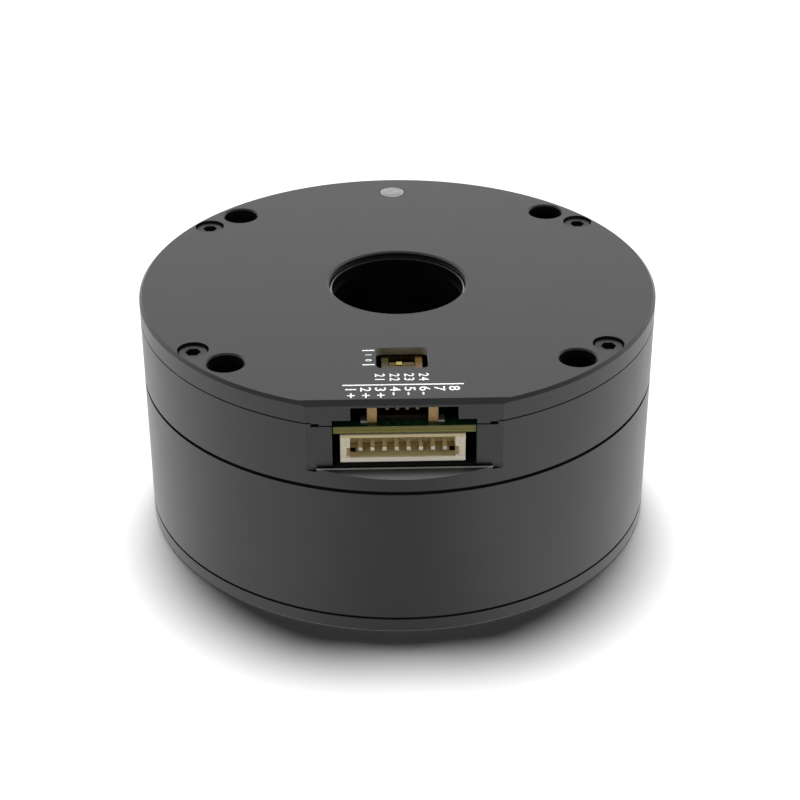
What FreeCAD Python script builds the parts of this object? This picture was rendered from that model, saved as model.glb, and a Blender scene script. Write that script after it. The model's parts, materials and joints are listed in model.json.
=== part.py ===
import FreeCAD, Part
import os
import re

import Sketcher

# Flat round servo motor with a hollow shaft, an outer rotor and a built-in driver.
# The output face lies on z = 0, the axis is Z and the connectors face -Y.

# Driving sizes in millimetres, with counts and degrees where the name says so
SIZES = {
    # Radial stack, from the bore outwards
    "bore_r": 8.75,
    "shaft_wall": 1.25,
    "bearing_section": 6.0,
    "carrier_wall": 2.5,
    "core_yoke": 3.2,
    "tooth_len": 7.7,
    "tooth_tip": 1.1,
    "air_gap": 0.5,
    "magnet_thick": 2.0,
    "rotor_wall": 2.0,
    # Axial stack, from the output face upwards
    "bell_rim": 1.9,
    "end_gap": 0.7,
    "coil_build": 1.25,
    "insulator_thick": 0.8,
    "core_len": 14.0,
    "rotor_gap": 0.5,
    "deck_thick": 2.5,
    "power_header_floor": 0.55,
    "board_thick": 1.0,
    "header_gap": 0.45,
    "cover_plate": 1.0,
    "cover_len": 2.95,
    # Shells
    "shell_wall": 2.0,
    "edge_break": 0.25,
    "seam_gap": 0.18,
    "seam_deep": 0.4,
    "cover_chamfer": 0.4,
    "bell_chamfer": 0.15,
    "bell_seam_gap": 0.36,
    "flat_depth": 2.2,
    "front_wall": 1.5,
    "flat_bevel": 0.75,
    "flat_bevel_tall": 0.5,
    "ledge_groove_wide": 0.45,
    "ledge_groove_deep": 0.5,
    "ledge_fall": 0.7,
    "apron_drop": 0.45,
    "notch_inset": 0.7,
    "apron_gap": 1.0,
    "window_gap": 0.15,
    "window_step": 0.95,
    "window_head": 0.2,
    "window_upper_side": 2.25,
    # Corner fastenings of the shells
    "mount_inset": 3.5,
    "mount_hole_r": 2.4,
    "mount_thread_r": 2.0,
    "mount_thread_len": 7.0,
    "boss_skin": 0.1,
    "hole_chamfer": 0.2,
    "screw_inset": 2.5,
    "screw_web": 1.17,
    "screw_r": 1.0,
    "screw_slack": 0.1,
    "screw_head_r": 1.8,
    "screw_head_tall": 1.3,
    "screw_head_gap": 0.25,
    "screw_sink": 0.35,
    "screw_grip": 4.0,
    "screw_socket": 1.8,
    "socket_deep": 0.8,
    # Light window
    "light_skirt_gap": 0.5,
    "light_r": 1.9,
    "light_fit": 0.05,
    "light_flange": 0.6,
    "light_flange_thick": 0.7,
    "light_foot_gap": 0.2,
    "led_wide": 1.6,
    "led_deep": 0.8,
    "led_tall": 0.7,
    "led_inset": 1.1,
    # Switch
    "slot_inset": 13.35,
    "slot_wide": 6.6,
    "slot_deep": 5.35,
    "slot_corner": 0.8,
    "switch_setback": 1.35,
    "switch_wide": 5.2,
    "switch_tall": 2.25,
    "switch_wall": 0.4,
    "switch_roof": 0.8,
    "switch_travel": 1.4,
    "knob_wide": 0.7,
    "knob_deep": 0.8,
    "knob_rise": 0.1,
    "knob_shift": 0.35,
    "slider_wide": 4.2,
    "slider_lip": 0.4,
    "slide_gap": 0.1,
    # Board
    "board_gap": 0.35,
    "board_hole_gap": 1.8,
    "tongue_side": 1.05,
    "tongue_setback": 0.15,
    "standoff_r": 2.0,
    "standoff_gap": 0.3,
    "standoff_count": 3,
    "board_screw_len": 3.0,
    "board_screw_head_r": 1.9,
    "board_screw_head_tall": 1.2,
    # Power header under the board
    "header_setback": 0.1,
    "header_shift": 0.2,
    "power_end": 1.275,
    "power_side_wall": 1.2,
    "power_roof": 0.6,
    "power_rabbet_tall": 0.2,
    "power_rabbet_deep": 0.4,
    "power_back_wall": 1.3,
    "power_cavity_tall": 2.85,
    "power_cavity_deep": 3.5,
    "power_key_wide": 0.45,
    "power_key_tall": 1.2,
    "power_key_deep": 2.0,
    "power_drain_wide": 0.7,
    "power_drain_deep": 1.1,
    "power_drain_setback": 1.4,
    "power_pitch": 1.5,
    "power_pins": 8,
    "power_pin": 0.5,
    "power_pin_setback": 1.0,
    "power_pin_rise": 0.6,
    "power_tail": 0.6,
    # Serial header on the board
    "serial_setback": 1.0,
    "serial_end": 1.3,
    "serial_side_wall": 1.2,
    "serial_mouth_deep": 1.0,
    "serial_floor": 0.35,
    "serial_back_wall": 1.4,
    "serial_cavity_tall": 1.45,
    "serial_cavity_deep": 3.6,
    "serial_roof": 0.25,
    "serial_pitch": 1.25,
    "serial_pins": 4,
    "serial_pin": 0.4,
    "serial_pin_setback": 1.5,
    "serial_tail": 0.5,
    "tab_wide": 0.8,
    "tab_deep": 1.6,
    "tab_thick": 0.2,
    # Parts on the board
    "transistor_wide": 5.0,
    "transistor_deep": 4.0,
    "transistor_tall": 1.0,
    "transistor_count": 6,
    "transistor_start_angle": 30.0,
    "transistor_sweep_angle": 120.0,
    "transistor_inset": 9.0,
    "controller_wide": 7.0,
    "controller_tall": 1.0,
    "driver_chip_wide": 5.0,
    "driver_chip_tall": 0.9,
    "chip_x": 17.0,
    "chip_y": 8.0,
    "capacitor_r": 2.2,
    "capacitor_tall": 3.6,
    "capacitor_count": 3,
    "capacitor_sweep_angle": 30.0,
    "capacitor_edge": 0.6,
    "shunt_wide": 6.3,
    "shunt_deep": 3.2,
    "shunt_tall": 0.7,
    "shunt_count": 3,
    "shunt_start_angle": 210.0,
    "shunt_sweep_angle": 60.0,
    "shunt_inset": 14.0,
    "sensor_wide": 4.0,
    "sensor_tall": 0.9,
    "sensor_edge": 0.4,
    # Stator
    "slot_count": 24,
    "tooth_wide": 2.6,
    "slot_opening": 2.2,
    "tip_root": 0.4,
    "coil_liner": 0.15,
    "coil_clear": 0.17,
    "coil_end": 0.25,
    "insulator_fit": 0.1,
    "carrier_collar": 0.8,
    "carrier_flange": 4.9,
    "carrier_flange_thick": 1.9,
    "carrier_shoulder": 1.4,
    "carrier_screw_count": 6,
    "carrier_screw_r": 1.25,
    "carrier_head_r": 2.2,
    "carrier_head_tall": 1.3,
    "carrier_screw_end": 0.3,
    "carrier_socket": 2.0,
    "lead_count": 3,
    "lead_r": 0.6,
    "lead_slack": 0.3,
    "lead_inset": 2.3,
    # Bearings
    "bearing_len": 7.0,
    "bearing_rise": 0.5,
    "bearing_break": 0.3,
    "ball_r": 1.75,
    "ball_clear": 0.05,
    "ball_count": 13,
    "race_land": 1.1,
    "cage_half_thick": 0.7,
    "cage_web": 0.3,
    "snap_thick": 0.8,
    "snap_seat": 0.5,
    "snap_width": 1.4,
    # Shaft and rotor
    "shaft_flange_gap": 0.5,
    "shaft_flange": 2.0,
    "shaft_step": 0.5,
    "shaft_step_width": 1.4,
    "lip_wall": 0.2,
    "lip_relief": 0.22,
    "lip_relief_deep": 1.5,
    "lip_gap": 0.18,
    "lip_sink": 0.9,
    "hole_ease_wide": 0.35,
    "hole_ease_tall": 0.15,
    "neck_rise": 0.6,
    "spacer_wall": 1.4,
    "spigot_len": 1.5,
    "spigot_wall": 1.4,
    "magnet_overhang": 0.7,
    "pole_count": 28,
    "magnet_gap_angle": 1.2,
    "shaft_screw_count": 6,
    "shaft_screw_r": 1.25,
    "shaft_screw_head_r": 2.4,
    "shaft_screw_head_tall": 1.2,
    "shaft_screw_end": 0.2,
    "shaft_screw_wall": 0.35,
    "shaft_screw_socket": 1.5,
    "output_hole_count": 6,
    "output_hole_r": 1.5,
    "output_inset": 12.0,
    # Encoder
    "hub_wall": 1.5,
    "encoder_air": 0.55,
    "hub_flange": 3.0,
    "hub_flange_thick": 0.8,
    "encoder_magnet_wide": 2.5,
    "encoder_magnet_tall": 1.0,
}

# Radii, levels and places that follow from the driving sizes
PLACES = {
    "shaft_r": "bore_r + shaft_wall",
    "bearing_r": "shaft_r + bearing_section",
    "carrier_r": "bearing_r + carrier_wall",
    "yoke_r": "carrier_r + core_yoke",
    "tip_r": "yoke_r + tooth_len",
    "core_r": "tip_r + tooth_tip",
    "magnet_r": "core_r + air_gap",
    "ring_in_r": "magnet_r + magnet_thick",
    "outer_r": "ring_in_r + rotor_wall",
    "coil_bottom": "bell_rim + end_gap",
    "core_bottom": "coil_bottom + coil_build + insulator_thick",
    "core_top": "core_bottom + core_len",
    "coil_top": "core_top + insulator_thick + coil_build",
    "deck_bottom": "coil_top + end_gap",
    "ring_top": "deck_bottom - rotor_gap",
    "deck_top": "deck_bottom + deck_thick",
    "power_header_tall": "power_cavity_tall + 2 * power_roof",
    "serial_header_tall": "serial_floor + serial_cavity_tall + serial_roof",
    "board_bottom": "deck_top + power_header_floor + power_header_tall",
    "board_top": "board_bottom + board_thick",
    "plate_bottom": "board_top + serial_header_tall + header_gap",
    "cover_top": "plate_bottom + cover_plate",
    "seam": "cover_top - cover_len",
    "shell_in_r": "outer_r - shell_wall",
    "flat_y": "outer_r - flat_depth",
    "flat_half": "sqrt(outer_r * outer_r - flat_y * flat_y)",
    "notch_half": "flat_half - notch_inset",
    "apron_half": "notch_half - apron_gap",
    "apron_bottom": "seam - apron_drop",
    "power_cavity_wide": "(power_pins - 1) * power_pitch + 2 * power_end",
    "power_header_wide": "power_cavity_wide + 2 * power_side_wall",
    "power_header_deep": "power_cavity_deep + power_back_wall",
    "serial_cavity_wide": "(serial_pins - 1) * serial_pitch + 2 * serial_end",
    "serial_header_wide": "serial_cavity_wide + 2 * serial_side_wall",
    "serial_header_deep": "serial_cavity_deep + serial_back_wall",
    "tongue_half": "power_header_wide / 2 + tongue_side",
    "window_half": "tongue_half + window_gap",
    "window_upper_half": "serial_header_wide / 2 + window_upper_side",
    "window_step_level": "board_top + window_step",
    "mount_ring_r": "outer_r - mount_inset",
    "mount_boss_r": "mount_inset - boss_skin",
    "mount_xy": "mount_ring_r / sqrt(2)",
    "screw_ring_r": "outer_r - screw_inset",
    "screw_boss_r": "screw_inset - boss_skin / 2",
    "screw_bore_r": "screw_head_r + screw_head_gap",
    "screw_reach": "mount_hole_r + screw_web + screw_bore_r",
    "screw_cosine": "(mount_ring_r^2 + screw_ring_r^2 - screw_reach^2) / (2 * mount_ring_r * screw_ring_r)",
    "screw_angle": "45 deg - acos(screw_cosine)",
    "screw_x": "screw_ring_r * cos(screw_angle)",
    "screw_y": "screw_ring_r * sin(screw_angle)",
    "screw_seat": "cover_top - screw_sink - screw_head_tall",
    "light_y": "shell_in_r - light_skirt_gap - light_flange - light_r",
    "light_flange_bottom": "plate_bottom - light_flange_thick",
    "led_top": "board_top + led_tall",
    "slot_y": "outer_r - slot_inset",
    "switch_y": "slot_y - switch_setback",
    "switch_top": "board_top + switch_tall",
    "cavity_tall": "switch_tall - switch_roof",
    "slider_half_wide": "slider_wide / 2",
    "slider_half_deep": "knob_deep / 2 + slider_lip",
    "cavity_half_wide": "slider_half_wide + slide_gap",
    "cavity_half_deep": "switch_travel / 2 + slider_half_deep + slide_gap",
    "switch_half_deep": "cavity_half_deep + switch_wall",
    "knob_y": "switch_y + switch_travel / 2",
    "board_r": "screw_ring_r - screw_boss_r - board_gap",
    "board_hole_r": "shaft_r + board_hole_gap",
    "collar_r": "carrier_r + carrier_collar",
    "carrier_flange_r": "collar_r + carrier_flange",
    "carrier_flange_top": "deck_top + carrier_flange_thick",
    "carrier_screw_ring_r": "collar_r + carrier_flange / 2",
    "carrier_head_top": "carrier_flange_top + carrier_head_tall",
    "standoff_ring_r": "carrier_flange_r + standoff_gap + standoff_r",
    "header_front": "flat_y - header_setback",
    "power_cavity_level": "board_bottom - power_header_tall / 2",
    "power_cavity_floor": "board_bottom - power_header_tall + power_roof",
    "power_pin_level": "power_cavity_floor + power_pin_rise",
    "power_header_back": "header_front - power_header_deep",
    "serial_front": "header_front - serial_setback",
    "serial_header_back": "serial_front - serial_header_deep",
    "serial_cavity_top": "board_top + serial_header_tall - serial_roof",
    "serial_pin_level": "serial_cavity_top - serial_cavity_tall / 2",
    "coil_in_r": "yoke_r + coil_end",
    "coil_out_r": "tip_r - tip_root - coil_end",
    "coil_half_hole": "tooth_wide / 2 + coil_liner",
    "coil_half_wide": "coil_in_r * tan(180 / slot_count) - coil_clear",
    "coil_corner": "coil_half_wide - coil_half_hole",
    "lead_ring_r": "coil_out_r - lead_inset",
    "shaft_flange_r": "bearing_r - shaft_flange_gap",
    "shaft_flange_top": "bell_rim + shaft_flange",
    "low_bearing_bottom": "shaft_flange_top + shaft_step",
    "low_bearing_top": "low_bearing_bottom + bearing_len",
    "high_bearing_top": "deck_top + bearing_rise",
    "high_bearing_bottom": "high_bearing_top - bearing_len",
    "pitch_r": "shaft_r + bearing_section / 2",
    "groove_r": "ball_r + ball_clear",
    "cage_half_len": "groove_r + cage_web",
    "hub_r": "shaft_r + hub_wall",
    "hub_flange_r": "hub_r + hub_flange",
    "hub_top": "board_bottom - sensor_tall - encoder_air - encoder_magnet_tall",
    "snap_top": "hub_top + snap_thick",
    "lip_r": "bore_r + lip_relief + lip_wall",
    "lip_top": "cover_top - lip_sink",
    "spigot_top": "bell_rim + spigot_len",
    "shaft_screw_ring_r": "shaft_r + shaft_screw_wall + shaft_screw_head_r",
    "output_ring_r": "outer_r - output_inset",
}

CORNERS = ((1, 1), (-1, 1), (-1, -1), (1, -1))

doc = FreeCAD.newDocument("servo_motor")
sheet = doc.addObject("Spreadsheet::Sheet", "Sizes")
for row, (name, size) in enumerate(SIZES.items(), start=1):
    sheet.set(f"A{row}", str(size))
    sheet.setAlias(f"A{row}", name)
doc.recompute()

sub_parts = []


# Expressions over the sheet

def spelled(text):
    """The expression with each place worked back to the cells of the sheet."""
    def cell(match):
        word = match.group(0)
        if word in PLACES:
            return "(" + spelled(PLACES[word]) + ")"
        return "Sizes." + word if word in SIZES else word

    return re.sub(r"[a-z][a-z0-9_]*", cell, str(text))


def measure(text):
    """The expression's present value."""
    return float(sheet.evalExpression(spelled(text)))


# Sketches

def new_body(label):
    """An empty sub-part, which may be a group of separate solids."""
    body = doc.addObject("PartDesign::Body", label)
    body.Label = label
    body.AllowCompound = True
    body.Placement = FreeCAD.Placement()
    sub_parts.append(body)
    return body


def datum(body, role):
    """One of the body's own origin planes or axes."""
    return next(feature for feature in body.Origin.OriginFeatures if feature.Role == role)


def sketch_at(body, level="0", role="XY_Plane", turn="0"):
    """A sketch on an origin plane, raised along its normal and turned about its own vertical."""
    sketch = body.newObject("Sketcher::SketchObject", "Sketch")
    sketch.AttachmentSupport = (datum(body, role), [""])
    sketch.MapMode = "FlatFace"
    sketch.AttachmentOffset = FreeCAD.Placement(
        FreeCAD.Vector(), FreeCAD.Rotation(FreeCAD.Vector(0, 1, 0), measure(turn))
    )
    sketch.setExpression("AttachmentOffset.Base.z", spelled(level))
    return sketch


def bind(sketch, constraint, text):
    """Add a constraint whose value follows an expression."""
    index = sketch.addConstraint(constraint)
    sketch.setExpression(f"Constraints[{index}]", spelled(text))


def pin_point(sketch, curve, end, x, y):
    """Hold one point of a curve at a place."""
    bind(sketch, Sketcher.Constraint("DistanceX", -1, 1, curve, end, measure(x)), x)
    bind(sketch, Sketcher.Constraint("DistanceY", -1, 1, curve, end, measure(y)), y)


def draw_outline(sketch, points):
    """A closed outline of straight edges through the given places."""
    spots = [FreeCAD.Vector(measure(x), measure(y), 0) for x, y in points]
    first = sketch.GeometryCount
    count = len(points)
    for k in range(count):
        sketch.addGeometry(Part.LineSegment(spots[k], spots[(k + 1) % count]), False)
    for k in range(count):
        following = first + (k + 1) % count
        sketch.addConstraint(Sketcher.Constraint("Coincident", first + k, 2, following, 1))
    for k, (x, y) in enumerate(points):
        pin_point(sketch, first + k, 1, x, y)


def draw_box(sketch, x, y, half_wide, half_deep):
    """A rectangle about a centre."""
    draw_outline(sketch, [
        (f"{x} + {sign_x} * ({half_wide})", f"{y} + {sign_y} * ({half_deep})")
        for sign_x, sign_y in CORNERS
    ])


def draw_circle(sketch, x, y, radius):
    """A circle about a centre."""
    spot = FreeCAD.Vector(measure(x), measure(y), 0)
    circle = Part.Circle(spot, FreeCAD.Vector(0, 0, 1), measure(radius))
    curve = sketch.addGeometry(circle, False)
    pin_point(sketch, curve, 3, x, y)
    bind(sketch, Sketcher.Constraint("Radius", curve, measure(radius)), radius)


def draw_hexagon(sketch, x, y, across_flats):
    """A hexagon about a centre."""
    draw_outline(sketch, [
        (
            f"{x} + {across_flats} / sqrt(3) * cos({60 * k})",
            f"{y} + {across_flats} / sqrt(3) * sin({60 * k})",
        )
        for k in range(6)
    ])


def draw_turned_box(sketch, ring_r, angle, half_radial, half_across):
    """A rectangle that faces the axis from a place on a ring."""
    draw_outline(sketch, [
        (
            f"({ring_r} + {side} * {half_radial}) * cos({angle}) - {turn} * {half_across} * sin({angle})",
            f"({ring_r} + {side} * {half_radial}) * sin({angle}) + {turn} * {half_across} * cos({angle})",
        )
        for side, turn in CORNERS
    ])


def draw_rounded_box(sketch, x, y, half_wide, half_deep, corner):
    """A rectangle about a centre, with round corners."""
    first = sketch.GeometryCount
    ends = []
    for sign_x, sign_y in CORNERS:
        along_x = f"{x} + {sign_x} * ({half_wide} - ({corner}))"
        along_y = f"{y} + {sign_y} * ({half_deep} - ({corner}))"
        far_x = f"{x} + {sign_x} * ({half_wide})"
        far_y = f"{y} + {sign_y} * ({half_deep})"
        pair = [(far_x, along_y), (along_x, far_y)]
        ends.append(pair if sign_x == sign_y else pair[::-1])
    for k, pair in enumerate(ends):
        spots = [FreeCAD.Vector(measure(px), measure(py), 0) for px, py in pair]
        start = FreeCAD.Vector(measure(ends[k - 1][1][0]), measure(ends[k - 1][1][1]), 0)
        sketch.addGeometry(Part.LineSegment(start, spots[0]), False)
        sign_x, sign_y = CORNERS[k]
        centre = FreeCAD.Vector(
            measure(f"{x} + {sign_x} * ({half_wide} - ({corner}))"),
            measure(f"{y} + {sign_y} * ({half_deep} - ({corner}))"),
            0,
        )
        outward = FreeCAD.Vector(sign_x, sign_y, 0).normalize()
        middle = centre + outward * measure(corner)
        sketch.addGeometry(Part.Arc(spots[0], middle, spots[1]), False)
    for k, pair in enumerate(ends):
        line = first + 2 * k
        arc = line + 1
        next_line = first + (2 * k + 2) % 8
        sketch.addConstraint(Sketcher.Constraint("Coincident", line, 2, arc, 1))
        sketch.addConstraint(Sketcher.Constraint("Coincident", arc, 2, next_line, 1))
        pin_point(sketch, line, 2, *pair[0])
        pin_point(sketch, next_line, 1, *pair[1])
        bind(sketch, Sketcher.Constraint("Radius", arc, measure(corner)), corner)


# Features

def settle(body, feature):
    """Make a feature the body's last one and work the document out."""
    body.Tip = feature
    doc.recompute()
    return feature


def pad(body, sketch, length, symmetric=False):
    """Add the sketch's area, drawn out along its normal or to both sides."""
    feature = body.newObject("PartDesign::Pad", "Pad")
    feature.Profile = sketch
    feature.SideType = "Symmetric" if symmetric else "One side"
    feature.setExpression("Length", spelled(length))
    return settle(body, feature)


def pocket(body, sketch, depth, along_normal=False, symmetric=False):
    """Cut the sketch's area away, against its normal unless told otherwise."""
    before = body.Shape.Volume
    feature = body.newObject("PartDesign::Pocket", "Pocket")
    feature.Profile = sketch
    feature.SideType = "Symmetric" if symmetric else "One side"
    feature.Reversed = along_normal
    feature.setExpression("Length", spelled(depth))
    settle(body, feature)
    if not body.Shape.Volume < before:
        raise RuntimeError(f"a pocket of {body.Label} cuts nothing")
    return feature


def turned(body, points, axis_x=None, turn="0", angle="360"):
    """A solid of revolution about Z, or about a line beside it at axis_x."""
    sketch = sketch_at(body, role="XZ_Plane", turn=turn)
    draw_outline(sketch, points)
    feature = body.newObject("PartDesign::Revolution", "Revolution")
    feature.Profile = sketch
    feature.ReferenceAxis = (sketch, [turning_axis(sketch, axis_x)])
    feature.setExpression("Angle", spelled(angle))
    return settle(body, feature)


def turned_cut(body, points, axis_x=None, turn="0"):
    """A groove or hole of revolution about Z, or about a line beside it at axis_x."""
    sketch = sketch_at(body, role="XZ_Plane", turn=turn)
    draw_outline(sketch, points)
    return groove(body, sketch, axis_x)


def groove(body, sketch, axis_x=None):
    """Turn the sketch's area about an axis and cut it away."""
    before = body.Shape.Volume
    feature = body.newObject("PartDesign::Groove", "Groove")
    feature.Profile = sketch
    feature.ReferenceAxis = (sketch, [turning_axis(sketch, axis_x)])
    feature.Angle = 360
    settle(body, feature)
    if not body.Shape.Volume < before:
        raise RuntimeError(f"a groove of {body.Label} cuts nothing")
    return feature


def turning_axis(sketch, axis_x):
    """The sketch's upright axis, or a construction line beside it."""
    if axis_x is None:
        return "V_Axis"
    low = FreeCAD.Vector(measure(axis_x), 0, 0)
    high = FreeCAD.Vector(measure(axis_x), measure("cover_top"), 0)
    line = sketch.addGeometry(Part.LineSegment(low, high), True)
    pin_point(sketch, line, 1, axis_x, "0")
    pin_point(sketch, line, 2, axis_x, "cover_top")
    return "Axis0"


def ring_of(body, features, count, sweep="360"):
    """Repeat features round the Z axis."""
    pattern = body.newObject("PartDesign::PolarPattern", "PolarPattern")
    pattern.Originals = features
    pattern.Axis = (datum(body, "Z_Axis"), [""])
    pattern.setExpression("Angle", spelled(sweep))
    pattern.setExpression("Occurrences", spelled(count))
    return settle(body, pattern)


def row_of(body, features, count, pitch):
    """Repeat features along X."""
    pattern = body.newObject("PartDesign::LinearPattern", "LinearPattern")
    pattern.Originals = features
    pattern.Direction = (datum(body, "X_Axis"), [""])
    pattern.setExpression("Length", spelled(f"({count} - 1) * {pitch}"))
    pattern.setExpression("Occurrences", spelled(count))
    return settle(body, pattern)


def block(label, x, y, half_wide, half_deep, bottom, tall):
    """A plain rectangular sub-part."""
    body = new_body(label)
    sketch = sketch_at(body, bottom)
    draw_box(sketch, x, y, half_wide, half_deep)
    pad(body, sketch, tall)
    return body


def tube(label, inner, outer, bottom, top):
    """A plain ring about the Z axis."""
    body = new_body(label)
    turned(body, [(inner, bottom), (outer, bottom), (outer, top), (inner, top)])
    return body


# Shells

def add_corner_bosses(body, bottom, tall):
    """The bosses round the mounting holes and the cover's screws."""
    sketch = sketch_at(body, bottom)
    draw_circle(sketch, "mount_xy", "mount_xy", "mount_boss_r")
    ring_of(body, [pad(body, sketch, tall)], "4")
    sketch = sketch_at(body, bottom)
    for sign_x, sign_y in CORNERS:
        draw_circle(sketch, f"{sign_x} * screw_x", f"{sign_y} * screw_y", "screw_boss_r")
    pad(body, sketch, tall)


def cut_corner_screws(body, level, radius, depth):
    """Four round holes at the cover's screws, cut downwards from a level."""
    sketch = sketch_at(body, level)
    for sign_x, sign_y in CORNERS:
        draw_circle(sketch, f"{sign_x} * screw_x", f"{sign_y} * screw_y", radius)
    pocket(body, sketch, depth)


def add_front_wall(body, half_wide, bottom, tall):
    """The straight wall behind the milled front flat."""
    sketch = sketch_at(body, bottom)
    draw_box(sketch, "0", "-(flat_y - front_wall / 2)", half_wide, "front_wall / 2")
    pad(body, sketch, tall)


def cut_front_flat(body, level, depth):
    """Mill the front of a shell flat."""
    sketch = sketch_at(body, level)
    draw_outline(sketch, [
        ("-outer_r", "-flat_y"),
        ("outer_r", "-flat_y"),
        ("outer_r", "-2 * outer_r"),
        ("-outer_r", "-2 * outer_r"),
    ])
    pocket(body, sketch, depth)


def make_top_cover():
    body = new_body("top_cover")
    turned(body, [
        ("lip_r + lip_gap", "plate_bottom"),
        ("shell_in_r", "plate_bottom"),
        ("shell_in_r", "seam"),
        ("outer_r - seam_deep", "seam"),
        ("outer_r - seam_deep", "seam + seam_gap"),
        ("outer_r", "seam + seam_gap"),
        ("outer_r", "cover_top - cover_chamfer"),
        ("outer_r - cover_chamfer", "cover_top"),
        ("lip_r + lip_gap + hole_ease_wide", "cover_top"),
        ("lip_r + lip_gap", "cover_top - hole_ease_tall"),
    ])
    add_corner_bosses(body, "seam", "cover_len - cover_plate / 2")
    add_front_wall(body, "notch_half", "seam", "cover_len - cover_plate / 2")
    add_front_wall(body, "apron_half", "apron_bottom", "apron_drop + edge_break")
    cut_front_flat(body, "cover_top", "cover_len + apron_drop")

    # Bevel along the flat's upper edge
    sketch = sketch_at(body, role="YZ_Plane")
    draw_outline(sketch, [
        ("-flat_y", "cover_top - flat_bevel_tall"),
        ("flat_bevel - flat_y", "cover_top"),
        ("-flat_y", "cover_top"),
    ])
    pocket(body, sketch, "2 * outer_r", symmetric=True)

    # Stepped window for the two headers
    sketch = sketch_at(body, role="XZ_Plane")
    draw_outline(sketch, [
        ("-window_half", "board_bottom"),
        ("window_half", "board_bottom"),
        ("window_half", "window_step_level"),
        ("window_upper_half", "window_step_level"),
        ("window_upper_half", "plate_bottom"),
        ("-window_upper_half", "plate_bottom"),
        ("-window_upper_half", "window_step_level"),
        ("-window_half", "window_step_level"),
    ])
    pocket(body, sketch, "outer_r", along_normal=True)
    sketch = sketch_at(body, "flat_y - 2 * front_wall", role="XZ_Plane")
    draw_box(sketch, "0", "plate_bottom + window_head / 2", "window_upper_half", "window_head / 2")
    pocket(body, sketch, "2 * front_wall", along_normal=True)

    # Fine gap under the apron
    sketch = sketch_at(body, "flat_y", role="XZ_Plane")
    draw_box(sketch, "0", "apron_bottom + seam_gap / 2", "apron_half", "seam_gap / 2")
    pocket(body, sketch, "seam_deep")

    # Light window and switch slot
    sketch = sketch_at(body, "cover_top")
    draw_circle(sketch, "0", "light_y", "light_r + light_fit")
    draw_rounded_box(sketch, "0", "-slot_y", "slot_wide / 2", "slot_deep / 2", "slot_corner")
    pocket(body, sketch, "cover_plate")

    # Mounting holes, eased at the mouth
    mouth = "mount_ring_r + mount_hole_r"
    hole = turned_cut(body, [
        ("mount_ring_r", "seam"),
        (mouth, "seam"),
        (mouth, "cover_top - hole_chamfer"),
        (f"{mouth} + hole_chamfer", "cover_top"),
        ("mount_ring_r", "cover_top"),
    ], axis_x="mount_ring_r", turn="45")
    ring_of(body, [hole], "4")

    cut_corner_screws(body, "cover_top", "screw_bore_r", "screw_sink + screw_head_tall")
    cut_corner_screws(body, "screw_seat", "screw_r + screw_slack", "screw_seat - seam")


def make_driver_housing():
    body = new_body("driver_housing")
    turned(body, [
        ("collar_r", "deck_bottom"),
        ("outer_r", "deck_bottom"),
        ("outer_r", "seam"),
        ("shell_in_r", "seam"),
        ("shell_in_r", "deck_top"),
        ("collar_r", "deck_top"),
    ])
    add_corner_bosses(body, "deck_bottom + deck_thick / 2", "seam - deck_top + deck_thick / 2")
    add_front_wall(body, "notch_half", "deck_bottom + deck_thick / 2", "seam - deck_top + deck_thick / 2")
    cut_front_flat(body, "seam", "seam - deck_top")

    # Groove at the foot of the flat, and the sloped ledge in front of it
    sketch = sketch_at(body, "deck_top")
    draw_box(sketch, "0", "-(flat_y + ledge_groove_wide / 2)", "flat_half", "ledge_groove_wide / 2")
    pocket(body, sketch, "ledge_groove_deep")
    sketch = sketch_at(body, role="YZ_Plane")
    draw_outline(sketch, [
        ("-(flat_y + ledge_groove_wide)", "deck_top"),
        ("-outer_r", "deck_top"),
        ("-outer_r", "deck_top - ledge_fall"),
    ])
    pocket(body, sketch, "2 * outer_r", symmetric=True)

    # Notch for the cover's apron
    sketch = sketch_at(body, "seam")
    draw_box(sketch, "0", "-flat_y", "notch_half", "2 * front_wall")
    pocket(body, sketch, "apron_drop")

    # Header window, open down to the ledge
    sketch = sketch_at(body, role="XZ_Plane")
    draw_outline(sketch, [
        ("-window_half", "deck_top"),
        ("window_half", "deck_top"),
        ("window_half", "seam"),
        ("-window_half", "seam"),
    ])
    pocket(body, sketch, "outer_r", along_normal=True)

    # Standoffs under the board, with their threads
    sketch = sketch_at(body, "deck_top")
    draw_circle(sketch, "-standoff_ring_r", "0", "standoff_r")
    standoff = pad(body, sketch, "board_bottom - deck_top")
    ring_of(body, [standoff], "standoff_count")
    sketch = sketch_at(body, "board_bottom")
    draw_circle(sketch, "-standoff_ring_r", "0", "screw_r")
    ring_of(body, [pocket(body, sketch, "board_screw_len")], "standoff_count")

    # Threads of the mounting holes and of the cover's screws
    sketch = sketch_at(body, "seam")
    draw_circle(sketch, "mount_xy", "mount_xy", "mount_thread_r")
    ring_of(body, [pocket(body, sketch, "mount_thread_len")], "4")
    cut_corner_screws(body, "seam", "screw_r", "screw_grip + screw_sink")

    # Threads of the carrier's screws and holes for the phase leads
    sketch = sketch_at(body, "deck_top")
    draw_circle(sketch, "carrier_screw_ring_r", "0", "carrier_screw_r")
    ring_of(body, [pocket(body, sketch, "deck_thick")], "carrier_screw_count")
    sketch = sketch_at(body, "deck_top")
    draw_circle(sketch, "0", "lead_ring_r", "lead_r + lead_slack")
    ring_of(body, [pocket(body, sketch, "deck_thick")], "lead_count", "360 / slot_count * (lead_count - 1)")


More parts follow.
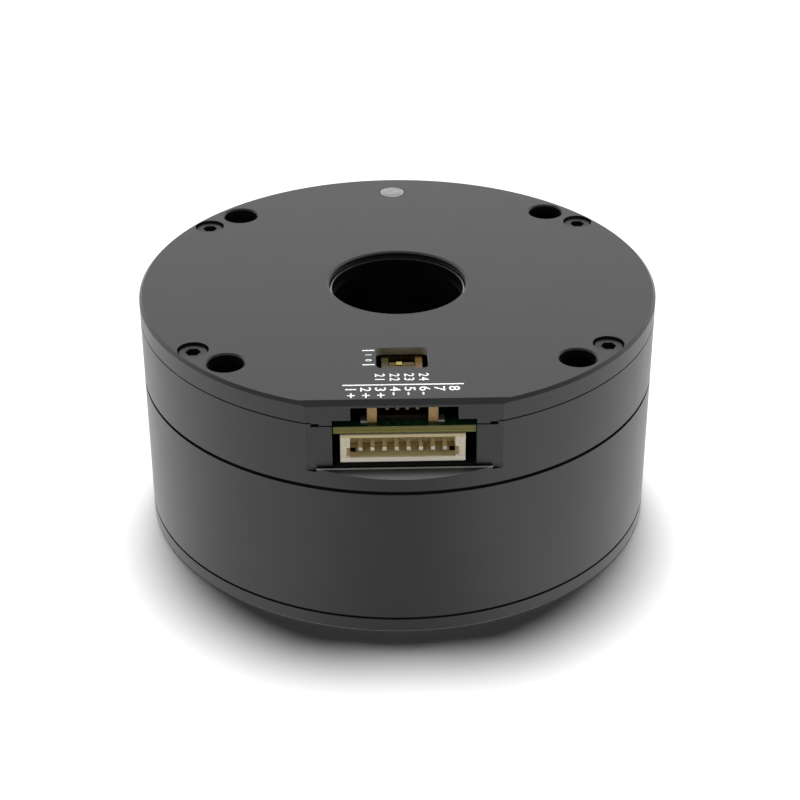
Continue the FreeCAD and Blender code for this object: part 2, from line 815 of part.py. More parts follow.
def make_cover_screws():
    body = new_body("cover_screws")
    parts = (
        ("screw_seat", "screw_head_r", "screw_head_tall"),
        ("seam - screw_grip", "screw_r", "screw_seat - seam + screw_grip"),
    )
    for level, radius, tall in parts:
        sketch = sketch_at(body, level)
        for sign_x, sign_y in CORNERS:
            draw_circle(sketch, f"{sign_x} * screw_x", f"{sign_y} * screw_y", radius)
        pad(body, sketch, tall)
    sketch = sketch_at(body, "cover_top - screw_sink")
    for sign_x, sign_y in CORNERS:
        draw_hexagon(sketch, f"{sign_x} * screw_x", f"{sign_y} * screw_y", "screw_socket")
    pocket(body, sketch, "socket_deep")


# Light window and switch

def make_light():
    body = new_body("led_light_pipe")
    stem_bottom = "led_top + light_foot_gap"
    parts = (
        (stem_bottom, "light_r", f"cover_top - ({stem_bottom})"),
        ("light_flange_bottom", "light_r + light_flange", "light_flange_thick"),
    )
    for level, radius, tall in parts:
        sketch = sketch_at(body, level)
        draw_circle(sketch, "0", "light_y", radius)
        pad(body, sketch, tall)
    block("status_led", "0", "board_r - led_inset", "led_wide / 2", "led_deep / 2", "board_top", "led_tall")


def make_switch():
    body = block(
        "switch_body", "0", "-switch_y", "switch_wide / 2", "switch_half_deep", "board_top", "switch_tall"
    )
    sketch = sketch_at(body, "board_top")
    draw_box(sketch, "0", "-switch_y", "cavity_half_wide", "cavity_half_deep")
    pocket(body, sketch, "cavity_tall", along_normal=True)
    sketch = sketch_at(body, "switch_top")
    knob_slot = "switch_travel / 2 + knob_deep / 2 + slide_gap"
    draw_box(sketch, "0", "-switch_y", "slider_half_wide - slider_lip", knob_slot)
    pocket(body, sketch, "switch_roof")

    slider = block(
        "switch_slider",
        "0",
        "-knob_y",
        "slider_half_wide",
        "slider_half_deep",
        "board_top + slide_gap",
        "cavity_tall - 2 * slide_gap",
    )
    # Wide tread level with the roof, and the knob that stands up from it
    tread_half = "slider_half_wide - slider_lip - slide_gap"
    for across, half, rise in (("0", tread_half, "0"), ("-knob_shift", "knob_wide / 2", "knob_rise")):
        sketch = sketch_at(slider, "board_top + slide_gap")
        draw_box(sketch, across, "-knob_y", half, "knob_deep / 2")
        pad(slider, sketch, f"switch_tall + {rise} - slide_gap")


# Driver board

def make_board():
    body = new_body("driver_board")
    sketch = sketch_at(body, "board_bottom")
    draw_circle(sketch, "0", "0", "board_r")
    draw_circle(sketch, "0", "0", "board_hole_r")
    pad(body, sketch, "board_thick")
    sketch = sketch_at(body, "board_bottom")
    draw_outline(sketch, [
        ("-tongue_half", "-(board_r + board_hole_r) / 2"),
        ("tongue_half", "-(board_r + board_hole_r) / 2"),
        ("tongue_half", "tongue_setback - flat_y"),
        ("-tongue_half", "tongue_setback - flat_y"),
    ])
    pad(body, sketch, "board_thick")
    sketch = sketch_at(body, "board_top")
    draw_circle(sketch, "mount_xy", "mount_xy", "mount_boss_r + board_gap")
    ring_of(body, [pocket(body, sketch, "board_thick")], "4")
    sketch = sketch_at(body, "board_top")
    draw_circle(sketch, "-standoff_ring_r", "0", "screw_r + screw_slack")
    ring_of(body, [pocket(body, sketch, "board_thick")], "standoff_count")


def make_board_screws():
    body = new_body("board_screws")
    sketch = sketch_at(body, "board_top")
    draw_circle(sketch, "-standoff_ring_r", "0", "board_screw_head_r")
    head = pad(body, sketch, "board_screw_head_tall")
    sketch = sketch_at(body, "board_bottom - board_screw_len")
    draw_circle(sketch, "-standoff_ring_r", "0", "screw_r")
    shank = pad(body, sketch, "board_screw_len + board_thick")
    sketch = sketch_at(body, "board_top + board_screw_head_tall")
    draw_hexagon(sketch, "-standoff_ring_r", "0", "screw_socket")
    socket = pocket(body, sketch, "socket_deep")
    ring_of(body, [head, shank, socket], "standoff_count")


def add_header_pins(body, pin, pitch, count, outline):
    """A row of bent pins from one outline in the YZ plane."""
    sketch = sketch_at(body, f"-header_shift - ({count} - 1) * {pitch} / 2", role="YZ_Plane")
    draw_outline(sketch, outline)
    row_of(body, [pad(body, sketch, pin, symmetric=True)], count, pitch)


def cut_pin_holes(body, pin, pitch, count, level, back, front):
    """The row of square holes that the pins pass through."""
    sketch = sketch_at(body, back, role="XZ_Plane")
    draw_box(sketch, f"-header_shift - ({count} - 1) * {pitch} / 2", level, f"{pin} / 2", f"{pin} / 2")
    hole = pocket(body, sketch, f"{front} - ({back})", along_normal=True)
    row_of(body, [hole], count, pitch)


def make_power_header():
    body = block(
        "power_header_shell",
        "-header_shift",
        "-(header_front + power_header_back) / 2",
        "power_header_wide / 2",
        "power_header_deep / 2",
        "board_bottom - power_header_tall",
        "power_header_tall",
    )
    sketch = sketch_at(body, "header_front", role="XZ_Plane")
    draw_box(sketch, "-header_shift", "power_cavity_level", "power_cavity_wide / 2", "power_cavity_tall / 2")
    pocket(body, sketch, "power_cavity_deep")
    sketch = sketch_at(body, "header_front", role="XZ_Plane")
    key_half = "power_cavity_wide / 2 + power_key_wide"
    draw_box(sketch, "-header_shift", "power_pin_level + power_pin / 2", key_half, "power_key_tall / 2")
    pocket(body, sketch, "power_key_deep")

    # Step along the upper edge of the mouth and two openings in the floor
    sketch = sketch_at(body, "header_front", role="XZ_Plane")
    step_level = "board_bottom - power_rabbet_tall / 2"
    draw_box(sketch, "-header_shift", step_level, "power_header_wide / 2", "power_rabbet_tall / 2")
    pocket(body, sketch, "power_rabbet_deep")
    sketch = sketch_at(body, "power_cavity_floor")
    for side in (-1, 1):
        across = f"{side} * (power_cavity_wide - power_drain_wide) / 2 - header_shift"
        along = "power_drain_setback + power_drain_deep / 2 - header_front"
        draw_box(sketch, across, along, "power_drain_wide / 2", "power_drain_deep / 2")
    pocket(body, sketch, "power_roof")
    cut_pin_holes(
        body,
        "power_pin",
        "power_pitch",
        "power_pins",
        "power_pin_level",
        "power_header_back",
        "header_front",
    )

    pins = new_body("power_header_pins")
    half = "power_pin / 2"
    tip = "power_pin_setback - header_front"
    heel = "power_tail - power_header_back"
    add_header_pins(pins, "power_pin", "power_pitch", "power_pins", [
        (tip, f"power_pin_level - {half}"),
        (heel, f"power_pin_level - {half}"),
        (heel, "board_bottom"),
        (f"{heel} - power_pin", "board_bottom"),
        (f"{heel} - power_pin", f"power_pin_level + {half}"),
        (tip, f"power_pin_level + {half}"),
    ])


def make_serial_header():
    body = block(
        "serial_header_shell",
        "-header_shift",
        "-(serial_front + serial_header_back) / 2",
        "serial_header_wide / 2",
        "serial_header_deep / 2",
        "board_top",
        "serial_header_tall",
    )
    sketch = sketch_at(body, "serial_front", role="XZ_Plane")
    draw_box(sketch, "-header_shift", "serial_pin_level", "serial_cavity_wide / 2", "serial_cavity_tall / 2")
    pocket(body, sketch, "serial_cavity_deep")
    sketch = sketch_at(body, "serial_front", role="XZ_Plane")
    middle = "board_top + serial_header_tall / 2"
    draw_box(sketch, "-header_shift", middle, "serial_cavity_wide / 2", "serial_header_tall / 2")
    pocket(body, sketch, "serial_mouth_deep")
    cut_pin_holes(
        body,
        "serial_pin",
        "serial_pitch",
        "serial_pins",
        "serial_pin_level",
        "serial_header_back",
        "serial_front",
    )

    pins = new_body("serial_header_pins")
    half = "serial_pin / 2"
    tip = "serial_pin_setback - serial_front"
    heel = "serial_tail - serial_header_back"
    add_header_pins(pins, "serial_pin", "serial_pitch", "serial_pins", [
        (tip, f"serial_pin_level + {half}"),
        (heel, f"serial_pin_level + {half}"),
        (heel, "board_top"),
        (f"{heel} - serial_pin", "board_top"),
        (f"{heel} - serial_pin", f"serial_pin_level - {half}"),
        (tip, f"serial_pin_level - {half}"),
    ])

    tabs = new_body("serial_header_tabs")
    sketch = sketch_at(tabs, "board_top")
    for side in (-1, 1):
        across = f"{side} * (serial_header_wide + tab_wide) / 2 - header_shift"
        draw_box(sketch, across, "tab_deep / 2 - serial_front", "tab_wide / 2", "tab_deep / 2")
    pad(tabs, sketch, "tab_thick")


def make_board_parts():
    transistors = new_body("power_mosfets")
    sketch = sketch_at(transistors, "board_top")
    ring = "board_r - transistor_inset - transistor_deep / 2"
    draw_turned_box(sketch, ring, "transistor_start_angle", "transistor_deep / 2", "transistor_wide / 2")
    package = pad(transistors, sketch, "transistor_tall")
    ring_of(transistors, [package], "transistor_count", "transistor_sweep_angle")

    shunts = new_body("shunt_resistors")
    sketch = sketch_at(shunts, "board_bottom - shunt_tall")
    ring = "board_r - shunt_inset"
    draw_turned_box(sketch, ring, "shunt_start_angle", "shunt_deep / 2", "shunt_wide / 2")
    ring_of(shunts, [pad(shunts, sketch, "shunt_tall")], "shunt_count", "shunt_sweep_angle")

    half = "controller_wide / 2"
    block("microcontroller", "-chip_x", "-chip_y", half, half, "board_top", "controller_tall")
    half = "driver_chip_wide / 2"
    block("gate_driver", "chip_x", "-chip_y", half, half, "board_top", "driver_chip_tall")

    capacitors = new_body("bulk_capacitors")
    sketch = sketch_at(capacitors, "board_bottom - capacitor_tall")
    draw_circle(sketch, "board_r - capacitor_edge - capacitor_r", "0", "capacitor_r")
    can = pad(capacitors, sketch, "capacitor_tall")
    ring_of(capacitors, [can], "capacitor_count", "capacitor_sweep_angle")

    half = "sensor_wide / 2"
    block(
        "encoder_sensor",
        "0",
        f"board_hole_r + sensor_edge + {half}",
        half,
        half,
        "board_bottom - sensor_tall",
        "sensor_tall",
    )


# Stator

def make_stator_carrier():
    body = new_body("stator_carrier")
    shoulder = "bearing_r - carrier_shoulder"
    snap = "bearing_r + snap_seat"
    snap_level = "high_bearing_top + snap_thick"
    turned(body, [
        ("bearing_r", "shaft_flange_top"),
        ("carrier_r", "shaft_flange_top"),
        ("carrier_r", "core_top"),
        ("collar_r", "core_top"),
        ("collar_r", "deck_top"),
        ("carrier_flange_r", "deck_top"),
        ("carrier_flange_r", "carrier_flange_top"),
        ("bearing_r", "carrier_flange_top"),
        ("bearing_r", snap_level),
        (snap, snap_level),
        (snap, "high_bearing_top"),
        ("bearing_r", "high_bearing_top"),
        ("bearing_r", "high_bearing_bottom"),
        (shoulder, "high_bearing_bottom"),
        (shoulder, "low_bearing_top"),
        ("bearing_r", "low_bearing_top"),
    ])
    sketch = sketch_at(body, "carrier_flange_top")
    draw_circle(sketch, "carrier_screw_ring_r", "0", "carrier_screw_r + screw_slack")
    ring_of(body, [pocket(body, sketch, "carrier_flange_thick")], "carrier_screw_count")
    tube("carrier_retaining_ring", f"{snap} - snap_width", snap, "high_bearing_top", snap_level)


def make_carrier_screws():
    body = new_body("carrier_screws")
    sketch = sketch_at(body, "carrier_flange_top")
    draw_circle(sketch, "carrier_screw_ring_r", "0", "carrier_head_r")
    head = pad(body, sketch, "carrier_head_tall")
    sketch = sketch_at(body, "deck_bottom + carrier_screw_end")
    draw_circle(sketch, "carrier_screw_ring_r", "0", "carrier_screw_r")
    shank = pad(body, sketch, "carrier_flange_top - deck_bottom - carrier_screw_end")
    sketch = sketch_at(body, "carrier_head_top")
    draw_hexagon(sketch, "carrier_screw_ring_r", "0", "carrier_socket")
    socket = pocket(body, sketch, "socket_deep")
    ring_of(body, [head, shank, socket], "carrier_screw_count")


def make_toothed_ring(label, inner, level, tall):
    """A yoke with one T-shaped tooth for each slot, as laminations are stamped."""
    body = new_body(label)
    sketch = sketch_at(body, level)
    draw_circle(sketch, "0", "0", inner)
    draw_circle(sketch, "0", "0", "yoke_r")
    pad(body, sketch, tall)
    neck = "tooth_wide / 2"
    tip = "tip_r * tan(180 / slot_count) - slot_opening / 2"
    sketch = sketch_at(body, level)
    draw_outline(sketch, [
        ("yoke_r - core_yoke / 2", f"-{neck}"),
        ("tip_r - tip_root", f"-{neck}"),
        ("tip_r", f"-({tip})"),
        ("core_r + air_gap", f"-({tip})"),
        ("core_r + air_gap", tip),
        ("tip_r", tip),
        ("tip_r - tip_root", neck),
        ("yoke_r - core_yoke / 2", neck),
    ])
    ring_of(body, [pad(body, sketch, tall)], "slot_count")

    # Grind the tips round
    sketch = sketch_at(body, f"{level} + {tall}")
    draw_circle(sketch, "0", "0", "core_r")
    draw_circle(sketch, "0", "0", "outer_r")
    pocket(body, sketch, tall)


def make_stator():
    make_toothed_ring("stator_core", "carrier_r", "core_bottom", "core_len")
    make_toothed_ring("upper_slot_insulator", "collar_r + insulator_fit", "core_top", "insulator_thick")
    make_toothed_ring(
        "lower_slot_insulator",
        "carrier_r + insulator_fit",
        "core_bottom - insulator_thick",
        "insulator_thick",
    )

    coils = new_body("stator_coils")
    middle = "(core_bottom + core_top) / 2"
    hole_half_tall = "core_len / 2 + insulator_thick"
    sketch = sketch_at(coils, "coil_in_r", role="YZ_Plane")
    draw_box(sketch, "0", middle, "coil_half_hole", hole_half_tall)
    draw_rounded_box(
        sketch, "0", middle, "coil_half_wide", f"{hole_half_tall} + coil_build", "coil_corner"
    )
    ring_of(coils, [pad(coils, sketch, "coil_out_r - coil_in_r")], "slot_count")

    leads = new_body("phase_leads")
    sketch = sketch_at(leads, "coil_top")
    draw_circle(sketch, "0", "lead_ring_r", "lead_r")
    lead = pad(leads, sketch, "board_bottom - coil_top")
    ring_of(leads, [lead], "lead_count", "360 / slot_count * (lead_count - 1)")


# Bearings

def make_bearing(place, bottom):
    """Rings, cage and balls of one deep-groove bearing."""
    top = f"({bottom} + bearing_len)"
    middle = f"({bottom} + bearing_len / 2)"
    land = "pitch_r + race_land"
    outer = new_body(f"{place}_bearing_outer_ring")
    turned(outer, [
        (land, bottom),
        ("bearing_r - bearing_break", bottom),
        ("bearing_r", f"{bottom} + bearing_break"),
        ("bearing_r", f"{top} - bearing_break"),
        ("bearing_r - bearing_break", top),
        (land, top),
    ])
    land = "pitch_r - race_land"
    inner = new_body(f"{place}_bearing_inner_ring")
    turned(inner, [
        ("shaft_r + bearing_break", bottom),
        (land, bottom),
        (land, top),
        ("shaft_r + bearing_break", top),
        ("shaft_r", f"{top} - bearing_break"),
        ("shaft_r", f"{bottom} + bearing_break"),
    ])
    for ring in (outer, inner):
        sketch = sketch_at(ring, role="XZ_Plane")
        draw_circle(sketch, "pitch_r", middle, "groove_r")
        groove(ring, sketch)

    cage = tube(
        f"{place}_bearing_cage",
        "pitch_r - cage_half_thick",
        "pitch_r + cage_half_thick",
        f"{middle} - cage_half_len",
        f"{middle} + cage_half_len",
    )
    sketch = sketch_at(cage, "pitch_r", role="YZ_Plane")
    draw_circle(sketch, "0", middle, "groove_r")
    ring_of(cage, [pocket(cage, sketch, "3 * cage_half_thick", symmetric=True)], "ball_count")

    balls = new_body(f"{place}_bearing_balls")
    ball = balls.newObject("PartDesign::AdditiveSphere", "Ball")
    ball.AttachmentSupport = (datum(balls, "XY_Plane"), [""])
    ball.MapMode = "FlatFace"
    ball.setExpression("AttachmentOffset.Base.x", spelled("pitch_r"))
    ball.setExpression("AttachmentOffset.Base.z", spelled(middle))
    ball.setExpression("Radius", spelled("ball_r"))
    ring_of(balls, [settle(balls, ball)], "ball_count")


# Rotor

def make_shaft():
    body = new_body("hollow_shaft")
    step_r = "shaft_r + shaft_step_width"
    groove_floor = "shaft_r - snap_seat"
    neck = "snap_top + neck_rise"
    turned(body, [
        ("bore_r", "0"),
        ("shaft_r", "0"),
        ("shaft_r", "bell_rim"),
        ("shaft_flange_r", "bell_rim"),
        ("shaft_flange_r", "shaft_flange_top"),
        (step_r, "shaft_flange_top"),
        (step_r, "low_bearing_bottom"),
        ("shaft_r", "low_bearing_bottom"),
        ("shaft_r", "hub_top"),
        (groove_floor, "hub_top"),
        (groove_floor, "snap_top"),
        ("shaft_r", "snap_top"),
        ("shaft_r", neck),
        ("lip_r", f"{neck} + shaft_r - lip_r"),
        ("lip_r", "lip_top"),
        ("lip_r - lip_wall", "lip_top"),
        ("lip_r - lip_wall", "lip_top - lip_relief_deep"),
        ("bore_r", "lip_top - lip_relief_deep"),
    ])
    sketch = sketch_at(body, "shaft_flange_top")
    draw_circle(sketch, "shaft_screw_ring_r", "0", "shaft_screw_r")
    ring_of(body, [pocket(body, sketch, "shaft_flange")], "shaft_screw_count")
    tube("shaft_retaining_ring", groove_floor, f"{groove_floor} + snap_width", "hub_top", "snap_top")
    tube("bearing_spacer", "shaft_r", "shaft_r + spacer_wall", "low_bearing_top", "high_bearing_bottom")


def countersunk_half_section(depth):
    """Half the section of a countersunk screw or hole that opens on the output face."""
    side = "shaft_screw_ring_r + shaft_screw_r"
    return [
        ("shaft_screw_ring_r", "0"),
        ("shaft_screw_ring_r + shaft_screw_head_r", "0"),
        (side, "shaft_screw_head_tall"),
        (side, depth),
        ("shaft_screw_ring_r", depth),
    ]


def make_end_bell():
    body = new_body("end_bell")
    turned(body, [
        ("shaft_r", "0"),
        ("outer_r - bell_chamfer", "0"),
        ("outer_r", "bell_chamfer"),
        ("outer_r", "bell_rim"),
        ("ring_in_r", "bell_rim"),
        ("ring_in_r", "spigot_top"),
        ("ring_in_r - spigot_wall", "spigot_top"),
        ("ring_in_r - spigot_wall", "bell_rim"),
        ("shaft_r", "bell_rim"),
    ])
    hole = turned_cut(body, countersunk_half_section("bell_rim"), axis_x="shaft_screw_ring_r")
    ring_of(body, [hole], "shaft_screw_count")
    sketch = sketch_at(body, "bell_rim")
    draw_circle(sketch, "output_ring_r", "0", "output_hole_r")
    ring_of(body, [pocket(body, sketch, "bell_rim")], "output_hole_count")

    screws = new_body("shaft_screws")
    screw = turned(
        screws,
        countersunk_half_section("shaft_flange_top - shaft_screw_end"),
        axis_x="shaft_screw_ring_r",
    )
    sketch = sketch_at(screws)
    draw_hexagon(sketch, "shaft_screw_ring_r", "0", "shaft_screw_socket")
    socket = pocket(screws, sketch, "socket_deep", along_normal=True)
    ring_of(screws, [screw, socket], "shaft_screw_count")


def make_rotor_ring():
    body = new_body("rotor_ring")
    turned(body, [
        ("ring_in_r", "bell_rim"),
        ("outer_r - seam_deep", "bell_rim"),
        ("outer_r - seam_deep", "bell_rim + bell_seam_gap"),
        ("outer_r", "bell_rim + bell_seam_gap"),
        ("outer_r", "ring_top"),
        ("ring_in_r", "ring_top"),
    ])
    magnets = new_body("rotor_magnets")
    magnet_top = "core_top + magnet_overhang"
    magnet = turned(magnets, [
        ("magnet_r", "spigot_top"),
        ("ring_in_r", "spigot_top"),
        ("ring_in_r", magnet_top),
        ("magnet_r", magnet_top),
    ], angle="360 / pole_count - magnet_gap_angle")
    ring_of(magnets, [magnet], "pole_count")


def make_encoder():
    body = new_body("encoder_hub")
    flange_bottom = "hub_top - hub_flange_thick"
    turned(body, [
        ("shaft_r", "high_bearing_top"),
        ("hub_r", "high_bearing_top"),
        ("hub_r", flange_bottom),
        ("hub_flange_r", flange_bottom),
        ("hub_flange_r", "hub_top"),
        ("shaft_r", "hub_top"),
    ])
    tube(
        "encoder_magnet",
        "hub_flange_r - encoder_magnet_wide",
        "hub_flange_r",
        "hub_top",
        "hub_top + encoder_magnet_tall",
    )


# Build, check and write

def check_document():
    """Stop if any object failed or any sub-part has no sound shape."""
    for thing in doc.Objects:
        if "Invalid" in thing.State or "Error" in thing.State:
            raise RuntimeError(f"{thing.Label} failed: {thing.State}")
    for body in sub_parts:
        if body.Shape.isNull() or not body.Shape.isValid():
            raise RuntimeError(f"{body.Label} has no sound shape")


make_top_cover()
make_cover_screws()
make_light()
make_switch()
make_board()
make_board_screws()
make_power_header()
make_serial_header()
make_board_parts()
make_driver_housing()
make_stator_carrier()
make_carrier_screws()
make_stator()
make_bearing("upper", "high_bearing_bottom")
make_bearing("lower", "low_bearing_bottom")
make_shaft()
make_end_bell()
make_rotor_ring()
make_encoder()

doc.recompute()
check_document()
os.makedirs("parts", exist_ok=True)
for sub_part in sub_parts:
    sub_part.Shape.exportStep(f"parts/{sub_part.Label}.step")
    print(sub_part.Label, len(sub_part.Shape.Solids), round(sub_part.Shape.Volume, 2))
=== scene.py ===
# %% [markdown]
# # A flat servo motor with a hollow shaft
#
# The shapes of this motor come from a CAD model, which is loaded here as a fixed frame.
# Blender adds what CAD leaves out: the finishes, the white print on the cover, the cut
# threads, and a studio with the camera of the photograph. Every length is in metres and
# every piece stays in the CAD model's own frame, so nothing has to be fitted by eye.

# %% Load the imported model
import json
import math

import bpy
from mathutils import Matrix, Vector


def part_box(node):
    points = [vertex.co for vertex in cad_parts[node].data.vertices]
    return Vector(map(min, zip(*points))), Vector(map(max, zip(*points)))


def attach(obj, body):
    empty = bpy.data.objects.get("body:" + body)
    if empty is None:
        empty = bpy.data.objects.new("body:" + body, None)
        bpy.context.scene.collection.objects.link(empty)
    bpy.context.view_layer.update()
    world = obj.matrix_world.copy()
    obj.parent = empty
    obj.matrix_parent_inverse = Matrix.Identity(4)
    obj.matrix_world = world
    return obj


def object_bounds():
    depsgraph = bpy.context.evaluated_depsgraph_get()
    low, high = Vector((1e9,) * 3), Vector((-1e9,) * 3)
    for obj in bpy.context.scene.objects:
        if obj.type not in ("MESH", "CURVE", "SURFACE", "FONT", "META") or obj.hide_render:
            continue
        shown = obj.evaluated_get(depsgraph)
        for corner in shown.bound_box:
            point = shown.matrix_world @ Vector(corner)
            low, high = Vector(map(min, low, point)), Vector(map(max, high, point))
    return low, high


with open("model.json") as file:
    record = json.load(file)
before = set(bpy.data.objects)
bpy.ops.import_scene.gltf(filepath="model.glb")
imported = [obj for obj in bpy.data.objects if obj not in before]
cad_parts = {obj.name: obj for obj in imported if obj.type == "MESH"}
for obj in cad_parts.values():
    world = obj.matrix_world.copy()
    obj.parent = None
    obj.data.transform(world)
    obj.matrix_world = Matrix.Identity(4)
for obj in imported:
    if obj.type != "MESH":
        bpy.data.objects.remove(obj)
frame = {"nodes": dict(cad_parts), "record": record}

MM = 0.001
cad_box = [list(corner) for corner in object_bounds()]
slot_of = {row["node"]: row["material_slot"] for row in frame["record"]["subparts"]}
print("Loaded", len(frame["nodes"]), "CAD nodes with", len(set(slot_of.values())), "finishes")

# %% [markdown]
# ## Small tools for shader nodes
#
# A finish is a tree of nodes. Written out in full, a tree is long and hard to read, so
# four short helpers do what a hand does in the node editor: add a node, feed a socket
# from another socket or with a number, do one sum, and spread a value over a new span.

# %% Node helpers
def add_node(tree, kind, **options):
    """Add one shader node and set its options."""
    made = tree.nodes.new(kind)
    for option, value in options.items():
        setattr(made, option, value)
    return made


def feed(tree, socket, value):
    """Link an output into a socket, or set the socket to a plain value."""
    if isinstance(value, bpy.types.NodeSocket):
        tree.links.new(value, socket)
    else:
        socket.default_value = value


def work_out(tree, operation, *values):
    """One sum on sockets or plain numbers."""
    made = add_node(tree, "ShaderNodeMath", operation=operation)
    for socket, value in zip(made.inputs, values):
        feed(tree, socket, value)
    return made.outputs["Value"]


def spread(tree, value, low, high, start=0.0, end=1.0):
    """Carry a value from one span to another, with soft ends."""
    made = add_node(tree, "ShaderNodeMapRange", interpolation_type="SMOOTHSTEP")
    for socket, given in zip(made.inputs, (value, low, high, start, end)):
        feed(tree, socket, given)
    return made.outputs["Result"]


# %% [markdown]
# Colours are mixed by a share that may change over the surface. They are written here as a
# screen shows them, from 0 to 255, because that is how they are read off a photograph. A
# shader works in linear light, so one helper turns the first into the second.

# %% Colours
def mix_colours(tree, share, first, second):
    """The first colour where the share is 0, the second where it is 1."""
    made = add_node(tree, "ShaderNodeMix", data_type="RGBA")
    for index, value in ((0, share), (6, first), (7, second)):
        feed(tree, made.inputs[index], value)
    return made.outputs[2]


def seen(red, green, blue):
    """A colour as a screen shows it, 0 to 255, in the linear light that shaders use."""
    linear = [((c / 255 + 0.055) / 1.055) ** 2.4 if c > 10 else c / 3295 for c in (red, green, blue)]
    return (*linear, 1.0)


print("A mid grey of 100 is", round(seen(100, 100, 100)[0], 3), "in linear light")

# %% [markdown]
# ## Effects that several finishes share
#
# Blasted metal, moulded plastic and plating all vary a little from spot to spot. One node
# group makes that grain for all of them, and each finish sets its own colours and size.
# A group hands out colours, values and heights only; the shader itself stays in the
# material, where the export can read it.

# %% Group sockets
VALUE, VECTOR, COLOUR = "NodeSocketFloat", "NodeSocketVector", "NodeSocketColor"


def new_group(name, inputs, outputs):
    """An empty node group with named sockets, as its tree, its inputs and its outputs."""
    tree = bpy.data.node_groups.new(name, "ShaderNodeTree")
    for label, kind in inputs:
        tree.interface.new_socket(label, in_out="INPUT", socket_type=kind)
    for label, kind in outputs:
        tree.interface.new_socket(label, in_out="OUTPUT", socket_type=kind)
    return tree, tree.nodes.new("NodeGroupInput").outputs, tree.nodes.new("NodeGroupOutput").inputs


# %% Blasted grain
CLOUD_SCALE = 0.03
FINE_SHARE, CLOUD_SHARE = 0.6, 0.4
TONE_SPAN = (0.35, 0.65)

grain, given, made = new_group(
    "blasted_grain",
    [("Vector", VECTOR), ("Grain", VALUE), ("Dark", COLOUR), ("Light", COLOUR), ("Smooth", VALUE),
     ("Rough", VALUE)],
    [("Color", COLOUR), ("Roughness", VALUE), ("Height", VALUE)],
)
fine = add_node(grain, "ShaderNodeTexNoise")
cloud = add_node(grain, "ShaderNodeTexNoise")
for noise in (fine, cloud):
    feed(grain, noise.inputs["Vector"], given["Vector"])
feed(grain, fine.inputs["Scale"], given["Grain"])
feed(grain, cloud.inputs["Scale"], work_out(grain, "MULTIPLY", given["Grain"], CLOUD_SCALE))
mottle = work_out(grain, "MULTIPLY", cloud.outputs["Fac"], CLOUD_SHARE)
tone = work_out(grain, "MULTIPLY_ADD", fine.outputs["Fac"], FINE_SHARE, mottle)
share = spread(grain, tone, *TONE_SPAN)
feed(grain, made["Color"], mix_colours(grain, share, given["Dark"], given["Light"]))
feed(grain, made["Roughness"], spread(grain, share, 0.0, 1.0, given["Smooth"], given["Rough"]))
feed(grain, made["Height"], fine.outputs["Fac"])
print("Group", grain.name, "with", len(grain.nodes), "nodes")

# %% [markdown]
# Turned metal carries fine uneven rings, stacked laminations show even lines along the
# axis, and a coil shows one even line for each turn of its wire. All three are stripes of
# one measure: the distance from the axis, the height, or both. One group counts along
# that measure and puts out an even and an uneven stripe.

# %% Ring marks
rings, given, made = new_group(
    "ring_marks",
    [("Vector", VECTOR), ("Across", VALUE), ("Along", VALUE), ("Pitch", VALUE)],
    [("Even", VALUE), ("Uneven", VALUE)],
)
place = add_node(rings, "ShaderNodeSeparateXYZ")
feed(rings, place.inputs[0], given["Vector"])
x, y, z = place.outputs
squares = work_out(rings, "MULTIPLY_ADD", x, x, work_out(rings, "MULTIPLY", y, y))
from_axis = work_out(rings, "MULTIPLY", work_out(rings, "SQRT", squares), given["Across"])
measure = work_out(rings, "MULTIPLY_ADD", z, given["Along"], from_axis)
count = work_out(rings, "DIVIDE", measure, given["Pitch"])
wave = work_out(rings, "SINE", work_out(rings, "MULTIPLY", count, 2 * math.pi))
feed(rings, made["Even"], spread(rings, wave, -1.0, 1.0))
streaks = add_node(rings, "ShaderNodeTexNoise", noise_dimensions="1D")
feed(rings, streaks.inputs["W"], count)
streaks.inputs["Scale"].default_value = 1.0
feed(rings, made["Uneven"], streaks.outputs["Fac"])
print("Group", rings.name, "with", len(rings.nodes), "nodes")

# %% [markdown]
# Some finishes change with height or depth: a lip that was skimmed bright, a laminate
# edge between two skins of lacquer, a socket whose colour changes inwards. One group says
# how far a spot lies past a start along one axis, from 0 to 1.

# %% Reach along an axis
reach, given, made = new_group(
    "reach_along",
    [("Vector", VECTOR), ("Axis", VECTOR), ("Start", VALUE), ("End", VALUE)],
    [("Mask", VALUE)],
)
along = add_node(reach, "ShaderNodeVectorMath", operation="DOT_PRODUCT")
feed(reach, along.inputs[0], given["Vector"])
feed(reach, along.inputs[1], given["Axis"])
feed(reach, made["Mask"], spread(reach, along.outputs["Value"], given["Start"], given["End"]))
print("Group", reach.name, "with", len(reach.nodes), "nodes")

# %% [markdown]
# Every finish starts the same way: a new material, the numbers of its shader, and the
# grain for its colour, its roughness and its relief. Helpers keep that in one place, so
# that each finish below only says what is its own. The numbers that are the same all over
# a surface are set on the shader itself, because the export drops them when they are linked.

# %% New finish
SHEEN_ROUGHNESS = 0.36
finishes = {}


def new_finish(slot, name, metallic=0.0, specular=0.5, sheen=0.0):
    """A material for one slot: its tree, its shader and the coordinates that patterns read."""
    material = bpy.data.materials.new(name)
    material.use_nodes = True
    tree = material.node_tree
    shader = tree.nodes["Principled BSDF"]
    shader.inputs["Metallic"].default_value = metallic
    shader.inputs["Specular IOR Level"].default_value = specular
    shader.inputs["Sheen Weight"].default_value = sheen
    shader.inputs["Sheen Roughness"].default_value = SHEEN_ROUGHNESS
    finishes[slot] = material
    return tree, shader, add_node(tree, "ShaderNodeTexCoord").outputs["Object"]


def use_group(tree, group, **values):
    """Place a group in a material, with its own values, and return its outputs."""
    made = add_node(tree, "ShaderNodeGroup", node_tree=group)
    for label, value in values.items():
        feed(tree, made.inputs[label], value)
    return made.outputs


